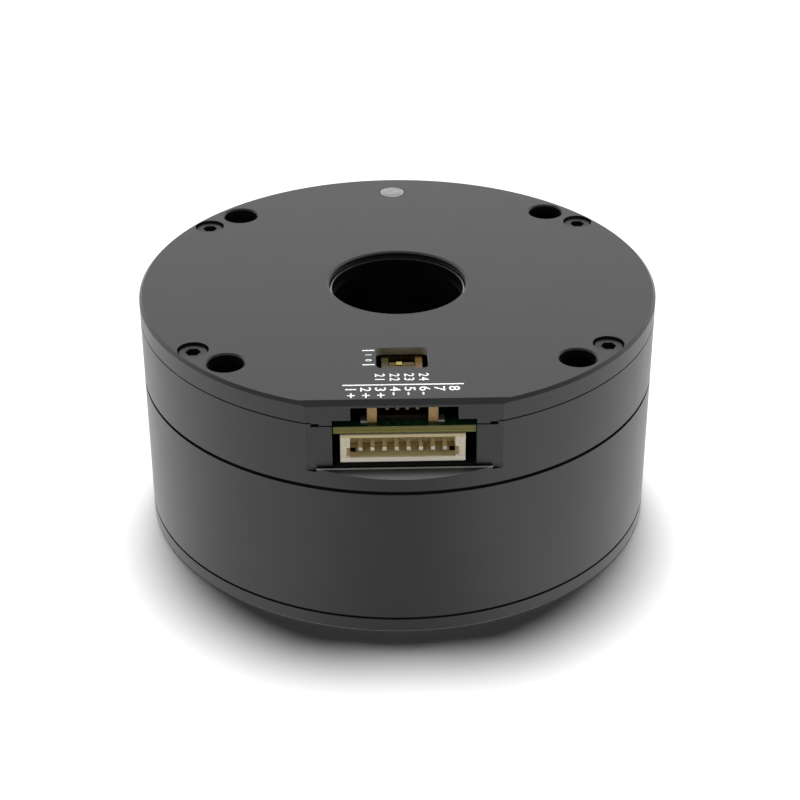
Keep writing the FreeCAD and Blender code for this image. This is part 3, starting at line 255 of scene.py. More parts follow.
# %% Grained finish
def add_relief(tree, shader, height, deep):
    """Let a height move the light on the surface, as relief of that depth would."""
    bump = add_node(tree, "ShaderNodeBump")
    bump.inputs["Distance"].default_value = deep
    feed(tree, bump.inputs["Height"], height)
    feed(tree, shader.inputs["Normal"], bump.outputs["Normal"])


def grained_finish(slot, name, dark, light, grain_size, smooth, rough, deep, **shader_values):
    """A finish of blasted grain, and the sockets that a finish may go on from."""
    tree, shader, spot = new_finish(slot, name, **shader_values)
    marks = use_group(
        tree, grain, Vector=spot, Grain=1 / grain_size, Dark=dark, Light=light, Smooth=smooth, Rough=rough
    )
    feed(tree, shader.inputs["Base Color"], marks["Color"])
    feed(tree, shader.inputs["Roughness"], marks["Roughness"])
    add_relief(tree, shader, marks["Height"], deep)
    return tree, shader, spot, marks


# %% [markdown]
# Two reaches that face each other leave a span between them, and three spans make a box.
# A box mask lets one finish differ at one place, such as a painted highlight on an edge or painted shade in a
# recess.
# The colours of several places are laid over the grain one after the other.

# %% Masks
def reach_mask(tree, spot, axis, start, end):
    """How far a spot lies past a start along an axis, from 0 to 1."""
    return use_group(tree, reach, Vector=spot, Axis=axis, Start=start, End=end)["Mask"]


def inside_box(tree, spot, x=None, y=None, z=None, soft=0.02 * MM):
    """How far a spot lies inside the given spans, from 0 to 1."""
    share = None
    for axis, span in enumerate((x, y, z)):
        if span is None:
            continue
        for sign, start in ((1, span[0]), (-1, -span[1])):
            along = [sign if k == axis else 0 for k in range(3)]
            edge = reach_mask(tree, spot, along, start, start + soft)
            share = edge if share is None else work_out(tree, "MULTIPLY", share, edge)
    return share


def lay_over(tree, shader, colour, *layers):
    """Lay each tone over the colour where its mask says, and feed the result to the shader."""
    for mask, tone in layers:
        colour = mix_colours(tree, mask, colour, tone)
    feed(tree, shader.inputs["Base Color"], colour)


# %% [markdown]
# ## Metal outside
#
# The shells are aluminium, blasted and dyed dark grey. Such a skin isn't a mirror: the dye
# takes nearly all the light, and what is seen is the sheen of the clear oxide, weak face
# on and strong at a flat angle. A dark base with a plain shader gives just that. Light is
# painted into a few places: the flat at the connectors is painted paler, so that it keeps the
# round side's brightness; the walls of the switch slot, in their recess, are painted pale as
# if lit; the sharp edge of the ledge carries a painted highlight; and the ledge itself turns
# matt and, as painted light, pale towards its outer edge.

# %% Shells
DYED = {
    "dark": seen(10, 10, 11), "light": seen(18, 18, 19), "deep": 0.002 * MM, "specular": 0.75, "sheen": 0.1,
}
# Painted light: the flat at the connectors is painted paler, to keep the round side's brightness.
PAINTED_LIGHT_FLAT = {"y": (-32.86 * MM, -32.76 * MM), "z": (24.0 * MM, 32.45 * MM)}
# Painted light: the walls of the switch slot, in their recess, are painted pale as if lit.
PAINTED_LIGHT_SLOT_WALL = {"x": (-3.35 * MM, 3.35 * MM), "y": (-24.4 * MM, -18.9 * MM), "z": (31.95 * MM, 32.97 * MM)}
# Painted highlight: a bright line along the sharp front edge of the ledge.
PAINTED_HIGHLIGHT_LEDGE_EDGE = {"x": (-11 * MM, 11 * MM), "y": (-33.45 * MM, -33.2 * MM), "z": (23.78 * MM, 23.95 * MM)}
LEDGE_NORMAL = Vector((0, -0.7, 1.7)).normalized()
LEDGE_LEVEL = LEDGE_NORMAL.dot(Vector((0, -33.3, 23.9))) * MM
LEDGE_FROM, LEDGE_FULL = LEDGE_LEVEL - 0.03 * MM, LEDGE_LEVEL - 0.01 * MM
# Painted light: the ledge is painted paler towards its outer edge.
PALE_FROM, PALE_FULL = 33.6 * MM, 34.8 * MM
LEDGE_DULLING = 0.3

tree, shader, spot, marks = grained_finish(
    "anodised_shell", "satin_dark_anodise", grain_size=0.12 * MM, smooth=0.32, rough=0.36, **DYED
)
on_ledge = reach_mask(tree, spot, LEDGE_NORMAL, LEDGE_FROM, LEDGE_FULL)
outward = reach_mask(tree, spot, (0, -1, 0), PALE_FROM, PALE_FULL)
ledge_painted_light = work_out(tree, "MULTIPLY", on_ledge, outward)
# The tones laid over the grain here are painted light, and one painted highlight.
lay_over(
    tree, shader, marks["Color"],
    (inside_box(tree, spot, **PAINTED_LIGHT_FLAT), seen(34, 34, 35)),
    (inside_box(tree, spot, **PAINTED_LIGHT_SLOT_WALL), seen(131, 127, 109)),
    (inside_box(tree, spot, **PAINTED_HIGHLIGHT_LEDGE_EDGE), seen(150, 150, 150)),
    (ledge_painted_light, seen(118, 119, 120)),
)
dulled = work_out(tree, "MULTIPLY_ADD", ledge_painted_light, LEDGE_DULLING, marks["Roughness"])
feed(tree, shader.inputs["Roughness"], dulled)
print("Shells finished with", len(tree.nodes), "nodes")

# %% [markdown]
# The rotor is coated steel in the same colour, a little smoother, with faint marks of the
# lathe in place of the grain's relief. The screws are black oxide, which is a thin skin on
# steel and shines a little more than plastic would.

# %% Rotor and screws
tree, shader, spot, marks = grained_finish(
    "rotor_coat", "satin_dark_coat", grain_size=0.15 * MM, smooth=0.31, rough=0.34, **DYED
)
lathe = use_group(tree, rings, Vector=spot, Across=1.0, Along=1.0, Pitch=0.09 * MM)
add_relief(tree, shader, lathe["Uneven"], 0.0015 * MM)
grained_finish(
    "black_screw", "black_oxide", dark=seen(14, 14, 15), light=seen(24, 24, 25),
    grain_size=0.1 * MM, smooth=0.3, rough=0.42, deep=0.002 * MM, specular=0.6,
)
print("Finishes so far:", sorted(finishes))

# %% [markdown]
# ## Metal inside
#
# Ground steel, turned aluminium and nickel plate are true metals, so they have no colour
# but that of their reflection. They differ in how smooth they are, and turned aluminium
# shows the marks of its tool.

# %% Bright metals
grained_finish(
    "bright_steel", "ground_steel", dark=seen(176, 177, 180), light=seen(205, 206, 208),
    grain_size=0.2 * MM, smooth=0.14, rough=0.26, deep=0.001 * MM, metallic=1.0,
)
grained_finish(
    "magnet_nickel", "nickel_plate", dark=seen(190, 188, 180), light=seen(212, 210, 203),
    grain_size=0.4 * MM, smooth=0.12, rough=0.2, deep=0.001 * MM, metallic=1.0,
)
tree, shader, spot, marks = grained_finish(
    "bare_aluminium", "turned_aluminium", dark=seen(196, 198, 201), light=seen(220, 222, 224),
    grain_size=0.3 * MM, smooth=0.25, rough=0.38, deep=0.001 * MM, metallic=1.0,
)
lathe = use_group(tree, rings, Vector=spot, Across=1.0, Along=1.0, Pitch=0.12 * MM)
add_relief(tree, shader, lathe["Uneven"], 0.004 * MM)
print("Finishes so far:", len(finishes))

# %% [markdown]
# The shaft is blackened and only its lip is skimmed bright. The height sets where the lip
# starts, and the same mask gives its colour and makes it metallic.

# %% Shaft
LIP_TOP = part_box("hollow_shaft")[1].z
LIP_FROM, LIP_FULL = LIP_TOP - 0.08 * MM, LIP_TOP - 0.02 * MM

tree, shader, spot, marks = grained_finish(
    "shaft_steel", "blackened_shaft", dark=seen(8, 8, 9), light=seen(14, 14, 15),
    grain_size=0.12 * MM, smooth=0.34, rough=0.44, deep=0.002 * MM, specular=0.25,
)
lip = reach_mask(tree, spot, (0, 0, 1), LIP_FROM, LIP_FULL)
lay_over(tree, shader, marks["Color"], (lip, seen(172, 172, 173)))
feed(tree, shader.inputs["Metallic"], lip)
print("The bright lip lies", round(LIP_TOP / MM, 2), "mm up")

# %% [markdown]
# The stator's core is a stack of thin sheets, so it shows even lines along the axis. The
# coils are wound wire, so each shows a line for every turn, further and further from the
# axis. Both are ring marks, counted along the height or across the radius.

# %% Core and copper
tree, shader, spot, marks = grained_finish(
    "core_steel", "stacked_sheets", dark=seen(120, 122, 126), light=seen(150, 152, 156),
    grain_size=0.5 * MM, smooth=0.35, rough=0.5, deep=0.002 * MM, metallic=1.0,
)
sheets = use_group(tree, rings, Vector=spot, Across=0.0, Along=1.0, Pitch=0.35 * MM)["Even"]
lay_over(tree, shader, seen(70, 71, 74), (sheets, marks["Color"]))
add_relief(tree, shader, sheets, 0.03 * MM)
tree, shader, spot, marks = grained_finish(
    "copper_wire", "enamelled_copper", dark=seen(176, 92, 44), light=seen(214, 124, 66),
    grain_size=0.6 * MM, smooth=0.18, rough=0.3, deep=0.002 * MM, metallic=1.0,
)
turns = use_group(tree, rings, Vector=spot, Across=1.0, Along=0.0, Pitch=0.42 * MM)["Even"]
lay_over(tree, shader, seen(84, 36, 14), (turns, marks["Color"]))
add_relief(tree, shader, turns, 0.12 * MM)
print("Finishes so far:", len(finishes))

# %% [markdown]
# ## Plastics, packages and cans
#
# Moulded parts are matt with a soft grain. The packages on the board are black epoxy with
# a coarser relief, and the capacitors are drawn aluminium. The grain alone is enough for
# these, since little of them is seen.

# %% Plain plastics, packages and cans
grained_finish(
    "insulator_white", "white_moulding", dark=seen(214, 214, 206), light=seen(232, 232, 226),
    grain_size=0.4 * MM, smooth=0.42, rough=0.55, deep=0.004 * MM,
)
grained_finish(
    "cage_nylon", "natural_nylon", dark=seen(206, 198, 172), light=seen(222, 216, 194),
    grain_size=0.5 * MM, smooth=0.4, rough=0.52, deep=0.004 * MM,
)
grained_finish(
    "chip_black", "black_epoxy", dark=seen(26, 26, 27), light=seen(44, 44, 45),
    grain_size=0.08 * MM, smooth=0.5, rough=0.68, deep=0.006 * MM,
)
grained_finish(
    "capacitor_can", "drawn_can", dark=seen(186, 187, 190), light=seen(208, 209, 211),
    grain_size=0.3 * MM, smooth=0.2, rough=0.32, deep=0.002 * MM, metallic=1.0,
)
print("Finishes so far:", len(finishes))

# %% [markdown]
# ## Pins
#
# Header pins are cut from plated strip. The power header's pins are bright at their cut
# tips only and duller along their length; the small pins of the serial header lie in the
# shade, painted in as a darker colour all over. Both places come from the CAD nodes' boxes.

# %% Pins
PIN_TIP = 0.05 * MM
SMALL_PIN_REACH, SMALL_PIN_MARGIN = 0.7 * MM, 0.1 * MM

tree, shader, spot, marks = grained_finish(
    "contact_metal", "tin_plate", dark=seen(206, 202, 188), light=seen(232, 229, 218),
    grain_size=0.15 * MM, smooth=0.3, rough=0.42, deep=0.001 * MM, metallic=0.5,
)
low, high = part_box("power_header_pins")
shanks = inside_box(tree, spot, y=(low.y + PIN_TIP, high.y), z=(low.z - MM, high.z))
low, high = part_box("serial_header_pins")
# Painted shade: the serial header's small pins lie in the shade and are painted darker all over.
shaded_small_pins = inside_box(
    tree, spot, x=(low.x - SMALL_PIN_MARGIN, high.x + SMALL_PIN_MARGIN),
    z=(high.z - SMALL_PIN_REACH, high.z + MM),
)
lay_over(tree, shader, marks["Color"], (shanks, seen(196, 182, 146)), (shaded_small_pins, seen(150, 146, 132)))
print("Small pins reach", round(high.z / MM, 2), "mm up")

# %% [markdown]
# ## Switch
#
# The slider has the brown of the switch's case, and only its knob is yellow: a reach along
# the height finds the knob's top. The case is olive brown and turns amber at one end, where
# the light shines through it.

# %% Switch
KNOB_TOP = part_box("switch_slider")[1].z
KNOB_FROM, KNOB_FULL = KNOB_TOP - 0.09 * MM, KNOB_TOP - 0.06 * MM
AMBER_FROM, AMBER_FULL = 1.4 * MM, 2.0 * MM

tree, shader, spot, marks = grained_finish(
    "slider_yellow", "yellow_knob", dark=seen(142, 132, 50), light=seen(168, 156, 72),
    grain_size=0.2 * MM, smooth=0.3, rough=0.42, deep=0.003 * MM,
)
knob = reach_mask(tree, spot, (0, 0, 1), KNOB_FROM, KNOB_FULL)
lay_over(tree, shader, seen(76, 64, 36), (knob, marks["Color"]))
tree, shader, spot, marks = grained_finish(
    "switch_brown", "amber_brown_moulding", dark=seen(54, 49, 26), light=seen(68, 60, 34),
    grain_size=0.35 * MM, smooth=0.25, rough=0.4, deep=0.004 * MM,
)
amber_end = reach_mask(tree, spot, (1, 0, 0), AMBER_FROM, AMBER_FULL)
lay_over(tree, shader, marks["Color"], (amber_end, seen(94, 71, 38)))
print("The knob's top is", round(KNOB_TOP / MM, 2), "mm up")

# %% [markdown]
# ## Board
#
# A circuit board is yellow-green glass laminate between two skins of green lacquer. From
# the front it shows its sawn edge, from above its lacquer. Two reaches along the height
# find the skins: one starts just under the top, the other just above the bottom.

# %% Board
SKIN = 0.04 * MM
WEAVE_SPAN = (0.3, 0.7)

tree, shader, spot, marks = grained_finish(
    "board_green", "lacquered_board", dark=seen(14, 38, 22), light=seen(22, 54, 30),
    grain_size=0.8 * MM, smooth=0.22, rough=0.34, deep=0.002 * MM,
)
low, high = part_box("driver_board")
top_skin = reach_mask(tree, spot, (0, 0, 1), high.z - 2 * SKIN, high.z - SKIN)
low_skin = reach_mask(tree, spot, (0, 0, -1), -low.z - 2 * SKIN, -low.z - SKIN)
lacquer = work_out(tree, "MAXIMUM", top_skin, low_skin)
weave = use_group(tree, rings, Vector=spot, Across=0.0, Along=1.0, Pitch=0.3 * MM)["Uneven"]
laminate = mix_colours(tree, spread(tree, weave, *WEAVE_SPAN), seen(76, 71, 14), seen(114, 107, 28))
lay_over(tree, shader, laminate, (lacquer, marks["Color"]))
print("Board from", round(low.z / MM, 2), "to", round(high.z / MM, 2), "mm up")

# %% [markdown]
# ## Headers
#
# The power header is cream nylon and the serial header amber brown. Both are sockets, and
# the light fails with depth. Cream nylon lets some light through its own walls, which a
# plain shader leaves out, so a reach that starts at the mouth paints light into the power
# header: its colour turns warmer and paler inwards. In the serial header the same reach paints
# shade, darker inwards. Boxes then paint more: a highlight on the rim of the power header's
# mouth, light on its lower lip, shade on its upper lip and in the two openings in its floor,
# a darker, browner tone on that floor, and shade in the serial header's hollow.

# %% Socket helper
MOUTH = 0.1 * MM


def socket_finish(slot, name, node, dark, light, inside, deep_end):
    """A moulded socket whose colour changes inwards from its mouth to a painted inside tone, with what it goes
    on from.
    """
    tree, shader, spot, marks = grained_finish(
        slot, name, dark, light, grain_size=0.5 * MM, smooth=0.38, rough=0.5, deep=0.004 * MM
    )
    low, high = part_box(node)
    depth = reach_mask(tree, spot, (0, 1, 0), low.y + MOUTH, low.y + deep_end)
    colour = mix_colours(tree, depth, marks["Color"], inside)
    print(name, "has its mouth at y", round(low.y / MM, 2), "mm")
    return tree, shader, spot, colour, low, high


# %% Power header
FLOOR_LEVEL, FLOOR_TOP, FLOOR_FROM = 0.57 * MM, 0.72 * MM, 0.3 * MM
FRONT_FACE, RIM_DEEP, DRAINS_FROM = 0.02 * MM, 0.25 * MM, 0.8 * MM
LOWER_LIP, UPPER_LIP, UPPER_LIP_DEEP = 0.6 * MM, 0.62 * MM, 0.6 * MM

# Painted light: the cream turns warmer and paler inwards from the mouth.
tree, shader, spot, colour, low, high = socket_finish(
    "header_cream", "cream_nylon", "power_header_shell", dark=seen(178, 169, 148), light=seen(194, 185, 164),
    inside=seen(230, 215, 178), deep_end=2.0 * MM,
)
# A darker, browner tone on the socket's floor.
socket_floor = inside_box(
    tree, spot, y=(low.y + FLOOR_FROM, high.y), z=(low.z + FLOOR_LEVEL, low.z + FLOOR_TOP), soft=0.01 * MM
)
# Painted light on the lower lip of the mouth.
lit_lower_lip = inside_box(tree, spot, y=(low.y - MM, low.y + FRONT_FACE), z=(low.z - MM, low.z + LOWER_LIP))
# Painted shade on the upper lip of the mouth.
shaded_upper_lip = inside_box(
    tree, spot, y=(low.y - MM, low.y + UPPER_LIP_DEEP), z=(high.z - UPPER_LIP, high.z + MM)
)
# Painted highlight on the rim just inside the mouth.
painted_rim = inside_box(tree, spot, y=(low.y + FRONT_FACE, low.y + RIM_DEEP))
# Painted shade in the two openings in the floor.
shaded_drains = inside_box(tree, spot, y=(low.y + DRAINS_FROM, high.y), z=(low.z - MM, low.z + FLOOR_LEVEL))
lay_over(
    tree, shader, colour,
    (socket_floor, seen(184, 172, 130)),
    (lit_lower_lip, seen(203, 196, 180)),
    (shaded_upper_lip, seen(172, 158, 122)),
    (painted_rim, seen(226, 216, 190)),
    (shaded_drains, seen(20, 14, 8)),
)
print("Power header is", round((high.x - low.x) / MM, 2), "mm wide")

# %% Serial header
END_WALL = 1.18 * MM

# Painted shade: the amber inside turns darker inwards from the mouth.
tree, shader, spot, colour, low, high = socket_finish(
    "header_brown", "amber_nylon", "serial_header_shell", dark=seen(140, 110, 66), light=seen(158, 126, 78),
    inside=seen(60, 34, 16), deep_end=1.0 * MM,
)
# Painted shade over the serial header's hollow.
hollow = inside_box(tree, spot, x=(low.x + END_WALL, high.x - END_WALL))
lay_over(tree, shader, colour, (hollow, seen(36, 20, 10)))
print("Serial header is", round((high.x - low.x) / MM, 2), "mm wide")

# %% [markdown]
# ## Light window
#
# The status light shines through a stub of frosted plastic, cool grey and mottled. Its end
# is domed a little: a relief that falls off from the middle bends the light as a dome would.
# The rim, where the stub meets the cover, is painted dark, as painted shade. The stub's
# hidden flange is wider than the end that shows, so its width is taken off first.

# %% Light window
PIPE_FLANGE = 0.6 * MM
DOME_TOP, DOME_FOOT, DOME_DEEP = 0.6 * MM, 2.0 * MM, 0.3 * MM
RIM_FROM, RIM_FULL = 0.2 * MM, 0.08 * MM

tree, shader, spot, marks = grained_finish(
    "light_window", "frosted_light_pipe", dark=seen(126, 127, 128), light=seen(170, 171, 172),
    grain_size=0.35 * MM, smooth=0.3, rough=0.5, deep=0.004 * MM,
)
low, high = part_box("led_light_pipe")
middle = (low + high) / 2
level = add_node(tree, "ShaderNodeVectorMath", operation="MULTIPLY")
feed(tree, level.inputs[0], spot)
level.inputs[1].default_value = (1, 1, 0)
from_middle = add_node(tree, "ShaderNodeVectorMath", operation="DISTANCE")
feed(tree, from_middle.inputs[0], level.outputs["Vector"])
from_middle.inputs[1].default_value = (middle.x, middle.y, 0)
dome = spread(tree, from_middle.outputs["Value"], DOME_TOP, DOME_FOOT, 1.0, 0.0)
add_relief(tree, shader, dome, DOME_DEEP)
end_radius = (high.x - low.x) / 2 - PIPE_FLANGE
# Painted shade: a dark ring at the rim, where the stub meets the cover.
painted_rim = spread(tree, from_middle.outputs["Value"], end_radius - RIM_FROM, end_radius - RIM_FULL)
lay_over(tree, shader, marks["Color"], (painted_rim, seen(50, 50, 51)))
print("Light window of radius", round(end_radius / MM, 2), "mm")

# %% [markdown]
# ## Dress the CAD nodes
#
# The CAD record names a material slot for every node, and each slot has one finish above.
# The meshes themselves are left alone.

# %% Give every node its finish
for node, piece in frame["nodes"].items():
    piece.data.materials.clear()
    piece.data.materials.append(finishes[slot_of[node]])
print("Finished", len(frame["nodes"]), "CAD nodes with", len(finishes), "finishes")

# %% [markdown]
# ## Print on the cover
#
# White ink marks the pins of the two headers and the two ends of the switch. It could be
# painted in a material, but thin meshes stay sharp at any distance and can be exported. All
# of it stands less than a hundredth of a millimetre above the cover.

# %% Ink
INK = 0.008 * MM
cover_top = cad_box[1][2]

grained_finish(
    "print", "white_ink", dark=seen(228, 228, 227), light=seen(246, 246, 245),
    grain_size=0.3 * MM, smooth=0.45, rough=0.6, deep=0.001 * MM,
)
print("Ink stands", round(INK / MM, 3), "mm above the cover")


# %% Join pieces
def join_as(name, pieces, slot):
    """Join pieces into the first of them, name it and give it a finish."""
    bpy.ops.object.select_all(action="DESELECT")
    for piece in pieces:
        piece.select_set(True)
    bpy.context.view_layer.objects.active = pieces[0]
    bpy.ops.object.join()
    joined = bpy.context.object
    joined.name = name
    joined.data.materials.clear()
    joined.data.materials.append(finishes[slot])
    return joined


def finish_print(name, strokes):
    """Join strokes of ink into one piece that rides on the cover's body."""
    piece = join_as(name, strokes, "print")
    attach(piece, "stator")
    print(name, "has", len(piece.data.polygons), "faces")


# %% [markdown]
# The numbers are text objects, made into meshes so that they hold their shape anywhere.
# There is no room to set them level, so they are turned and run towards the front. The power
# header's numbers are stretched a little, to fill the space between the line and the edge.

# %% Text on the cover
LETTER_GAP = 1.2
LETTER_SWELL = 0.02 * MM


def printed_text(text, x, y, size, stretch=1.0):
    """Text that starts at a place on the cover and runs towards the front."""
    bpy.ops.object.select_all(action="DESELECT")
    bpy.ops.object.text_add(location=(x, y, cover_top), rotation=(0, 0, -math.pi / 2))
    label = bpy.context.object
    label.data.body = text
    label.data.size = size
    label.data.align_x = "LEFT"
    label.data.align_y = "CENTER"
    label.data.extrude = INK
    label.data.offset = LETTER_SWELL
    label.data.space_character = LETTER_GAP
    label.scale.x = stretch
    bpy.ops.object.convert(target="MESH")
    bpy.ops.object.transform_apply(location=True, rotation=True, scale=True)
    return bpy.context.object


# %% Numbers
LABEL_PITCH = 1.825 * MM
SWITCH_MARK_X, SWITCH_MARK_SIZE = -4.28 * MM, 1.1 * MM


def label_row(labels, first, y, size, stretch=1.0):
    """Labels one pitch apart along X; the first place is counted in pitches from the middle."""
    return [printed_text(text, (k + first) * LABEL_PITCH, y, size, stretch) for k, text in enumerate(labels)]


numbers = label_row(
    ["1+", "2+", "3+", "4-", "5-", "6-", "7", "8"], first=-3.62, y=-29.05 * MM, size=1.9 * MM, stretch=1.22
)
numbers += label_row(["21", "22", "23", "24"], first=-1.62, y=-25.7 * MM, size=1.75 * MM)
for mark, y in (("1", -20.5 * MM), ("0", -21.9 * MM)):
    numbers.append(printed_text(mark, SWITCH_MARK_X, y, SWITCH_MARK_SIZE))
finish_print("pin_numbers", numbers)

# %% [markdown]
# The line between the two rows of numbers, and the bars at the ends of the switch's travel,
# start as planes. Their corners are rounded by a bevel, and an extrude makes them a film.

# %% Line and bars
LINE_WIDTH, BAR_WIDTH = 0.27 * MM, 0.26 * MM
CORNER_SHARE = 0.3
LINE_START, LINE_END, LINE_Y = -7.58 * MM, 7.46 * MM, -28.55 * MM
BAR_START, BAR_END, BAR_YS = -5.03 * MM, -3.46 * MM, (-19.6 * MM, -23.35 * MM)


def printed_bar(x_start, x_end, y, width):
    """A straight stroke of ink along X with rounded corners."""
    bpy.ops.object.select_all(action="DESELECT")
    bpy.ops.mesh.primitive_plane_add(size=1, location=((x_start + x_end) / 2, y, cover_top - INK))
    bpy.ops.object.mode_set(mode="EDIT")
    bpy.ops.transform.resize(value=(x_end - x_start, width, 1))
    bpy.ops.mesh.bevel(offset=width * CORNER_SHARE, segments=3, affect="VERTICES")
    bpy.ops.mesh.extrude_region_move(TRANSFORM_OT_translate={"value": (0, 0, 2 * INK)})
    bpy.ops.mesh.select_all(action="SELECT")
    bpy.ops.mesh.normals_make_consistent(inside=False)
    bpy.ops.object.mode_set(mode="OBJECT")
    bpy.ops.object.transform_apply(location=True, rotation=True, scale=True)
    return bpy.context.object


bars = [printed_bar(LINE_START, LINE_END, LINE_Y, LINE_WIDTH)]
bars += [printed_bar(BAR_START, BAR_END, y, BAR_WIDTH) for y in BAR_YS]
finish_print("print_lines", bars)

# %% [markdown]
# ## Cut threads
#
# The mounting holes and the output holes are tapped. A thread is one ridge wound up the
# hole's wall, so a small triangle is carried up and round by a Screw modifier, as a tap
# cuts it. One thread is made for each size and copied to its holes.

# %% Wind a thread
SUNK_SHARE = 0.2
STEPS_PER_TURN = 28
MERGE_BELOW = 0.001 * MM


def wind_thread(radius, pitch, turns):
    """A helical ridge on the wall of a hole that stands on the Z axis, with closed ends."""
    bpy.ops.object.select_all(action="DESELECT")
    bpy.ops.mesh.primitive_circle_add(vertices=3, radius=pitch / 2, rotation=(math.pi / 2, 0, 0))
    ridge = bpy.context.object
    bpy.ops.object.transform_apply(location=True, rotation=True, scale=True)
    bpy.ops.object.mode_set(mode="EDIT")
    bpy.ops.mesh.select_all(action="SELECT")
    bpy.ops.transform.rotate(value=math.pi / 2, orient_axis="Y", center_override=(0, 0, 0))
    bpy.ops.transform.translate(value=(radius - pitch * SUNK_SHARE, 0, 0))
    bpy.ops.object.mode_set(mode="OBJECT")
    screw = ridge.modifiers.new("wind", "SCREW")
    screw.axis = "Z"
    screw.screw_offset = pitch
    screw.iterations = turns
    screw.steps = screw.render_steps = STEPS_PER_TURN
    bpy.ops.object.modifier_apply(modifier=screw.name)
    bpy.ops.object.mode_set(mode="EDIT")
    bpy.ops.mesh.select_all(action="SELECT")
    bpy.ops.mesh.remove_doubles(threshold=MERGE_BELOW)
    bpy.ops.mesh.select_all(action="DESELECT")
    bpy.ops.mesh.select_mode(type="EDGE")
    bpy.ops.mesh.select_non_manifold()
    bpy.ops.mesh.fill()
    bpy.ops.mesh.select_all(action="SELECT")
    bpy.ops.mesh.normals_make_consistent(inside=False)
    bpy.ops.object.mode_set(mode="OBJECT")
    return ridge


# %% Copy a thread to its holes
SMOOTH_BELOW = math.radians(40)


def copy_to_holes(ridge, holes):
    """The ridge in the first hole, and a copy with its own mesh in each of the others."""
    ridges = [ridge]
    for _ in holes[1:]:
        bpy.ops.object.select_all(action="DESELECT")
        ridge.select_set(True)
        bpy.context.view_layer.objects.active = ridge
        bpy.ops.object.duplicate()
        ridges.append(bpy.context.object)
    for placed, hole in zip(ridges, holes):
        placed.location = hole
        placed.select_set(True)
    bpy.ops.object.transform_apply(location=True, rotation=True, scale=True)
    return ridges


def finish_threads(name, ridges, body, slot):
    """Join the ridges of one pattern of holes into one piece on its body."""
    piece = join_as(name, ridges, slot)
    bpy.ops.object.shade_smooth_by_angle(angle=SMOOTH_BELOW)
    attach(piece, body)
    print(name, "has", len(piece.data.polygons), "faces")


# %% Threads
MOUNT_CIRCLE_R, MOUNT_THREAD_LOW = 31.5 * MM, 23.5 * MM
OUTPUT_CIRCLE_R, OUTPUT_THREAD_LOW, OUTPUT_HOLES = 23 * MM, 0.45 * MM, 6

mount_xy = MOUNT_CIRCLE_R / math.sqrt(2)
mount_holes = [(sx * mount_xy, sy * mount_xy, MOUNT_THREAD_LOW) for sx in (-1, 1) for sy in (-1, 1)]
ridge = wind_thread(radius=2.0 * MM, pitch=0.7 * MM, turns=8)
finish_threads("mount_threads", copy_to_holes(ridge, mount_holes), "stator", "anodised_shell")
bearings = [k * 2 * math.pi / OUTPUT_HOLES for k in range(OUTPUT_HOLES)]
output_holes = [
    (OUTPUT_CIRCLE_R * math.cos(turn), OUTPUT_CIRCLE_R * math.sin(turn), OUTPUT_THREAD_LOW) for turn in bearings
]
ridge = wind_thread(radius=1.5 * MM, pitch=0.5 * MM, turns=2)
finish_threads("output_threads", copy_to_holes(ridge, output_holes), "rotor", "anodised_shell")

# %% [markdown]
# ## Floor
#
# The motor stands on white paper. The key light alone lights the paper and brings it just
# past white, so the paper shows the motor's own soft shadow. Reflections in the motor see the
# paper white beside and behind it, a little less so in front on the left, and greyer straight
# ahead, where a photographer stands in the light. That gives the round side its dark middle.

# %% Paper
FLOOR_WIDTH, FLOOR_DROP = 6, 0.02 * MM
WHITE = (1, 1, 1, 1)

bpy.ops.object.select_all(action="DESELECT")
bpy.ops.mesh.primitive_plane_add(size=FLOOR_WIDTH, location=(0, 0, -FLOOR_DROP))
floor = bpy.context.object
floor.name = "floor"
paper = bpy.data.materials.new("white_paper")
paper.use_nodes = True
tree = paper.node_tree
tree.nodes.clear()
plain = add_node(tree, "ShaderNodeBsdfDiffuse")
plain.inputs["Color"].default_value = WHITE
floor.data.materials.append(paper)
print("Floor", round(floor.dimensions.x, 1), "m wide")

# %% [markdown]
# How white the paper is in a reflection depends on its bearing from the motor: X is 0 and Y
# is -1 straight ahead. Each span is one soft step along X or Y.

# %% White in reflections
ASIDE_SPAN, GREY_AHEAD, WHITE_ASIDE = (0.03, 0.62), 0.61, 0.98
LEFT_SPAN, LEFT_SHARE = (-0.6, 0.6), 0.88
FRONT_SPAN = (-0.82, -0.2)

bearing = add_node(tree, "ShaderNodeVectorMath", operation="NORMALIZE")
feed(tree, bearing.inputs[0], add_node(tree, "ShaderNodeTexCoord").outputs["Object"])
parts = add_node(tree, "ShaderNodeSeparateXYZ")
feed(tree, parts.inputs[0], bearing.outputs["Vector"])
aside = spread(tree, work_out(tree, "ABSOLUTE", parts.outputs["X"]), *ASIDE_SPAN, GREY_AHEAD, WHITE_ASIDE)
rightward = spread(tree, parts.outputs["X"], *LEFT_SPAN, LEFT_SHARE, 1.0)
ahead = work_out(tree, "MULTIPLY", aside, rightward)
white = add_node(tree, "ShaderNodeEmission")
feed(tree, white.inputs["Strength"], spread(tree, parts.outputs["Y"], *FRONT_SPAN, ahead, 1.0))
print("Straight ahead the paper is", round(GREY_AHEAD * (1 + LEFT_SHARE) / 2, 2), "of white")

# %% [markdown]
# Light Path tells a reflection from a direct look, and picks the white or the lit paper. Seen
# from below the paper isn't there, so that the motor's output face can be looked at.

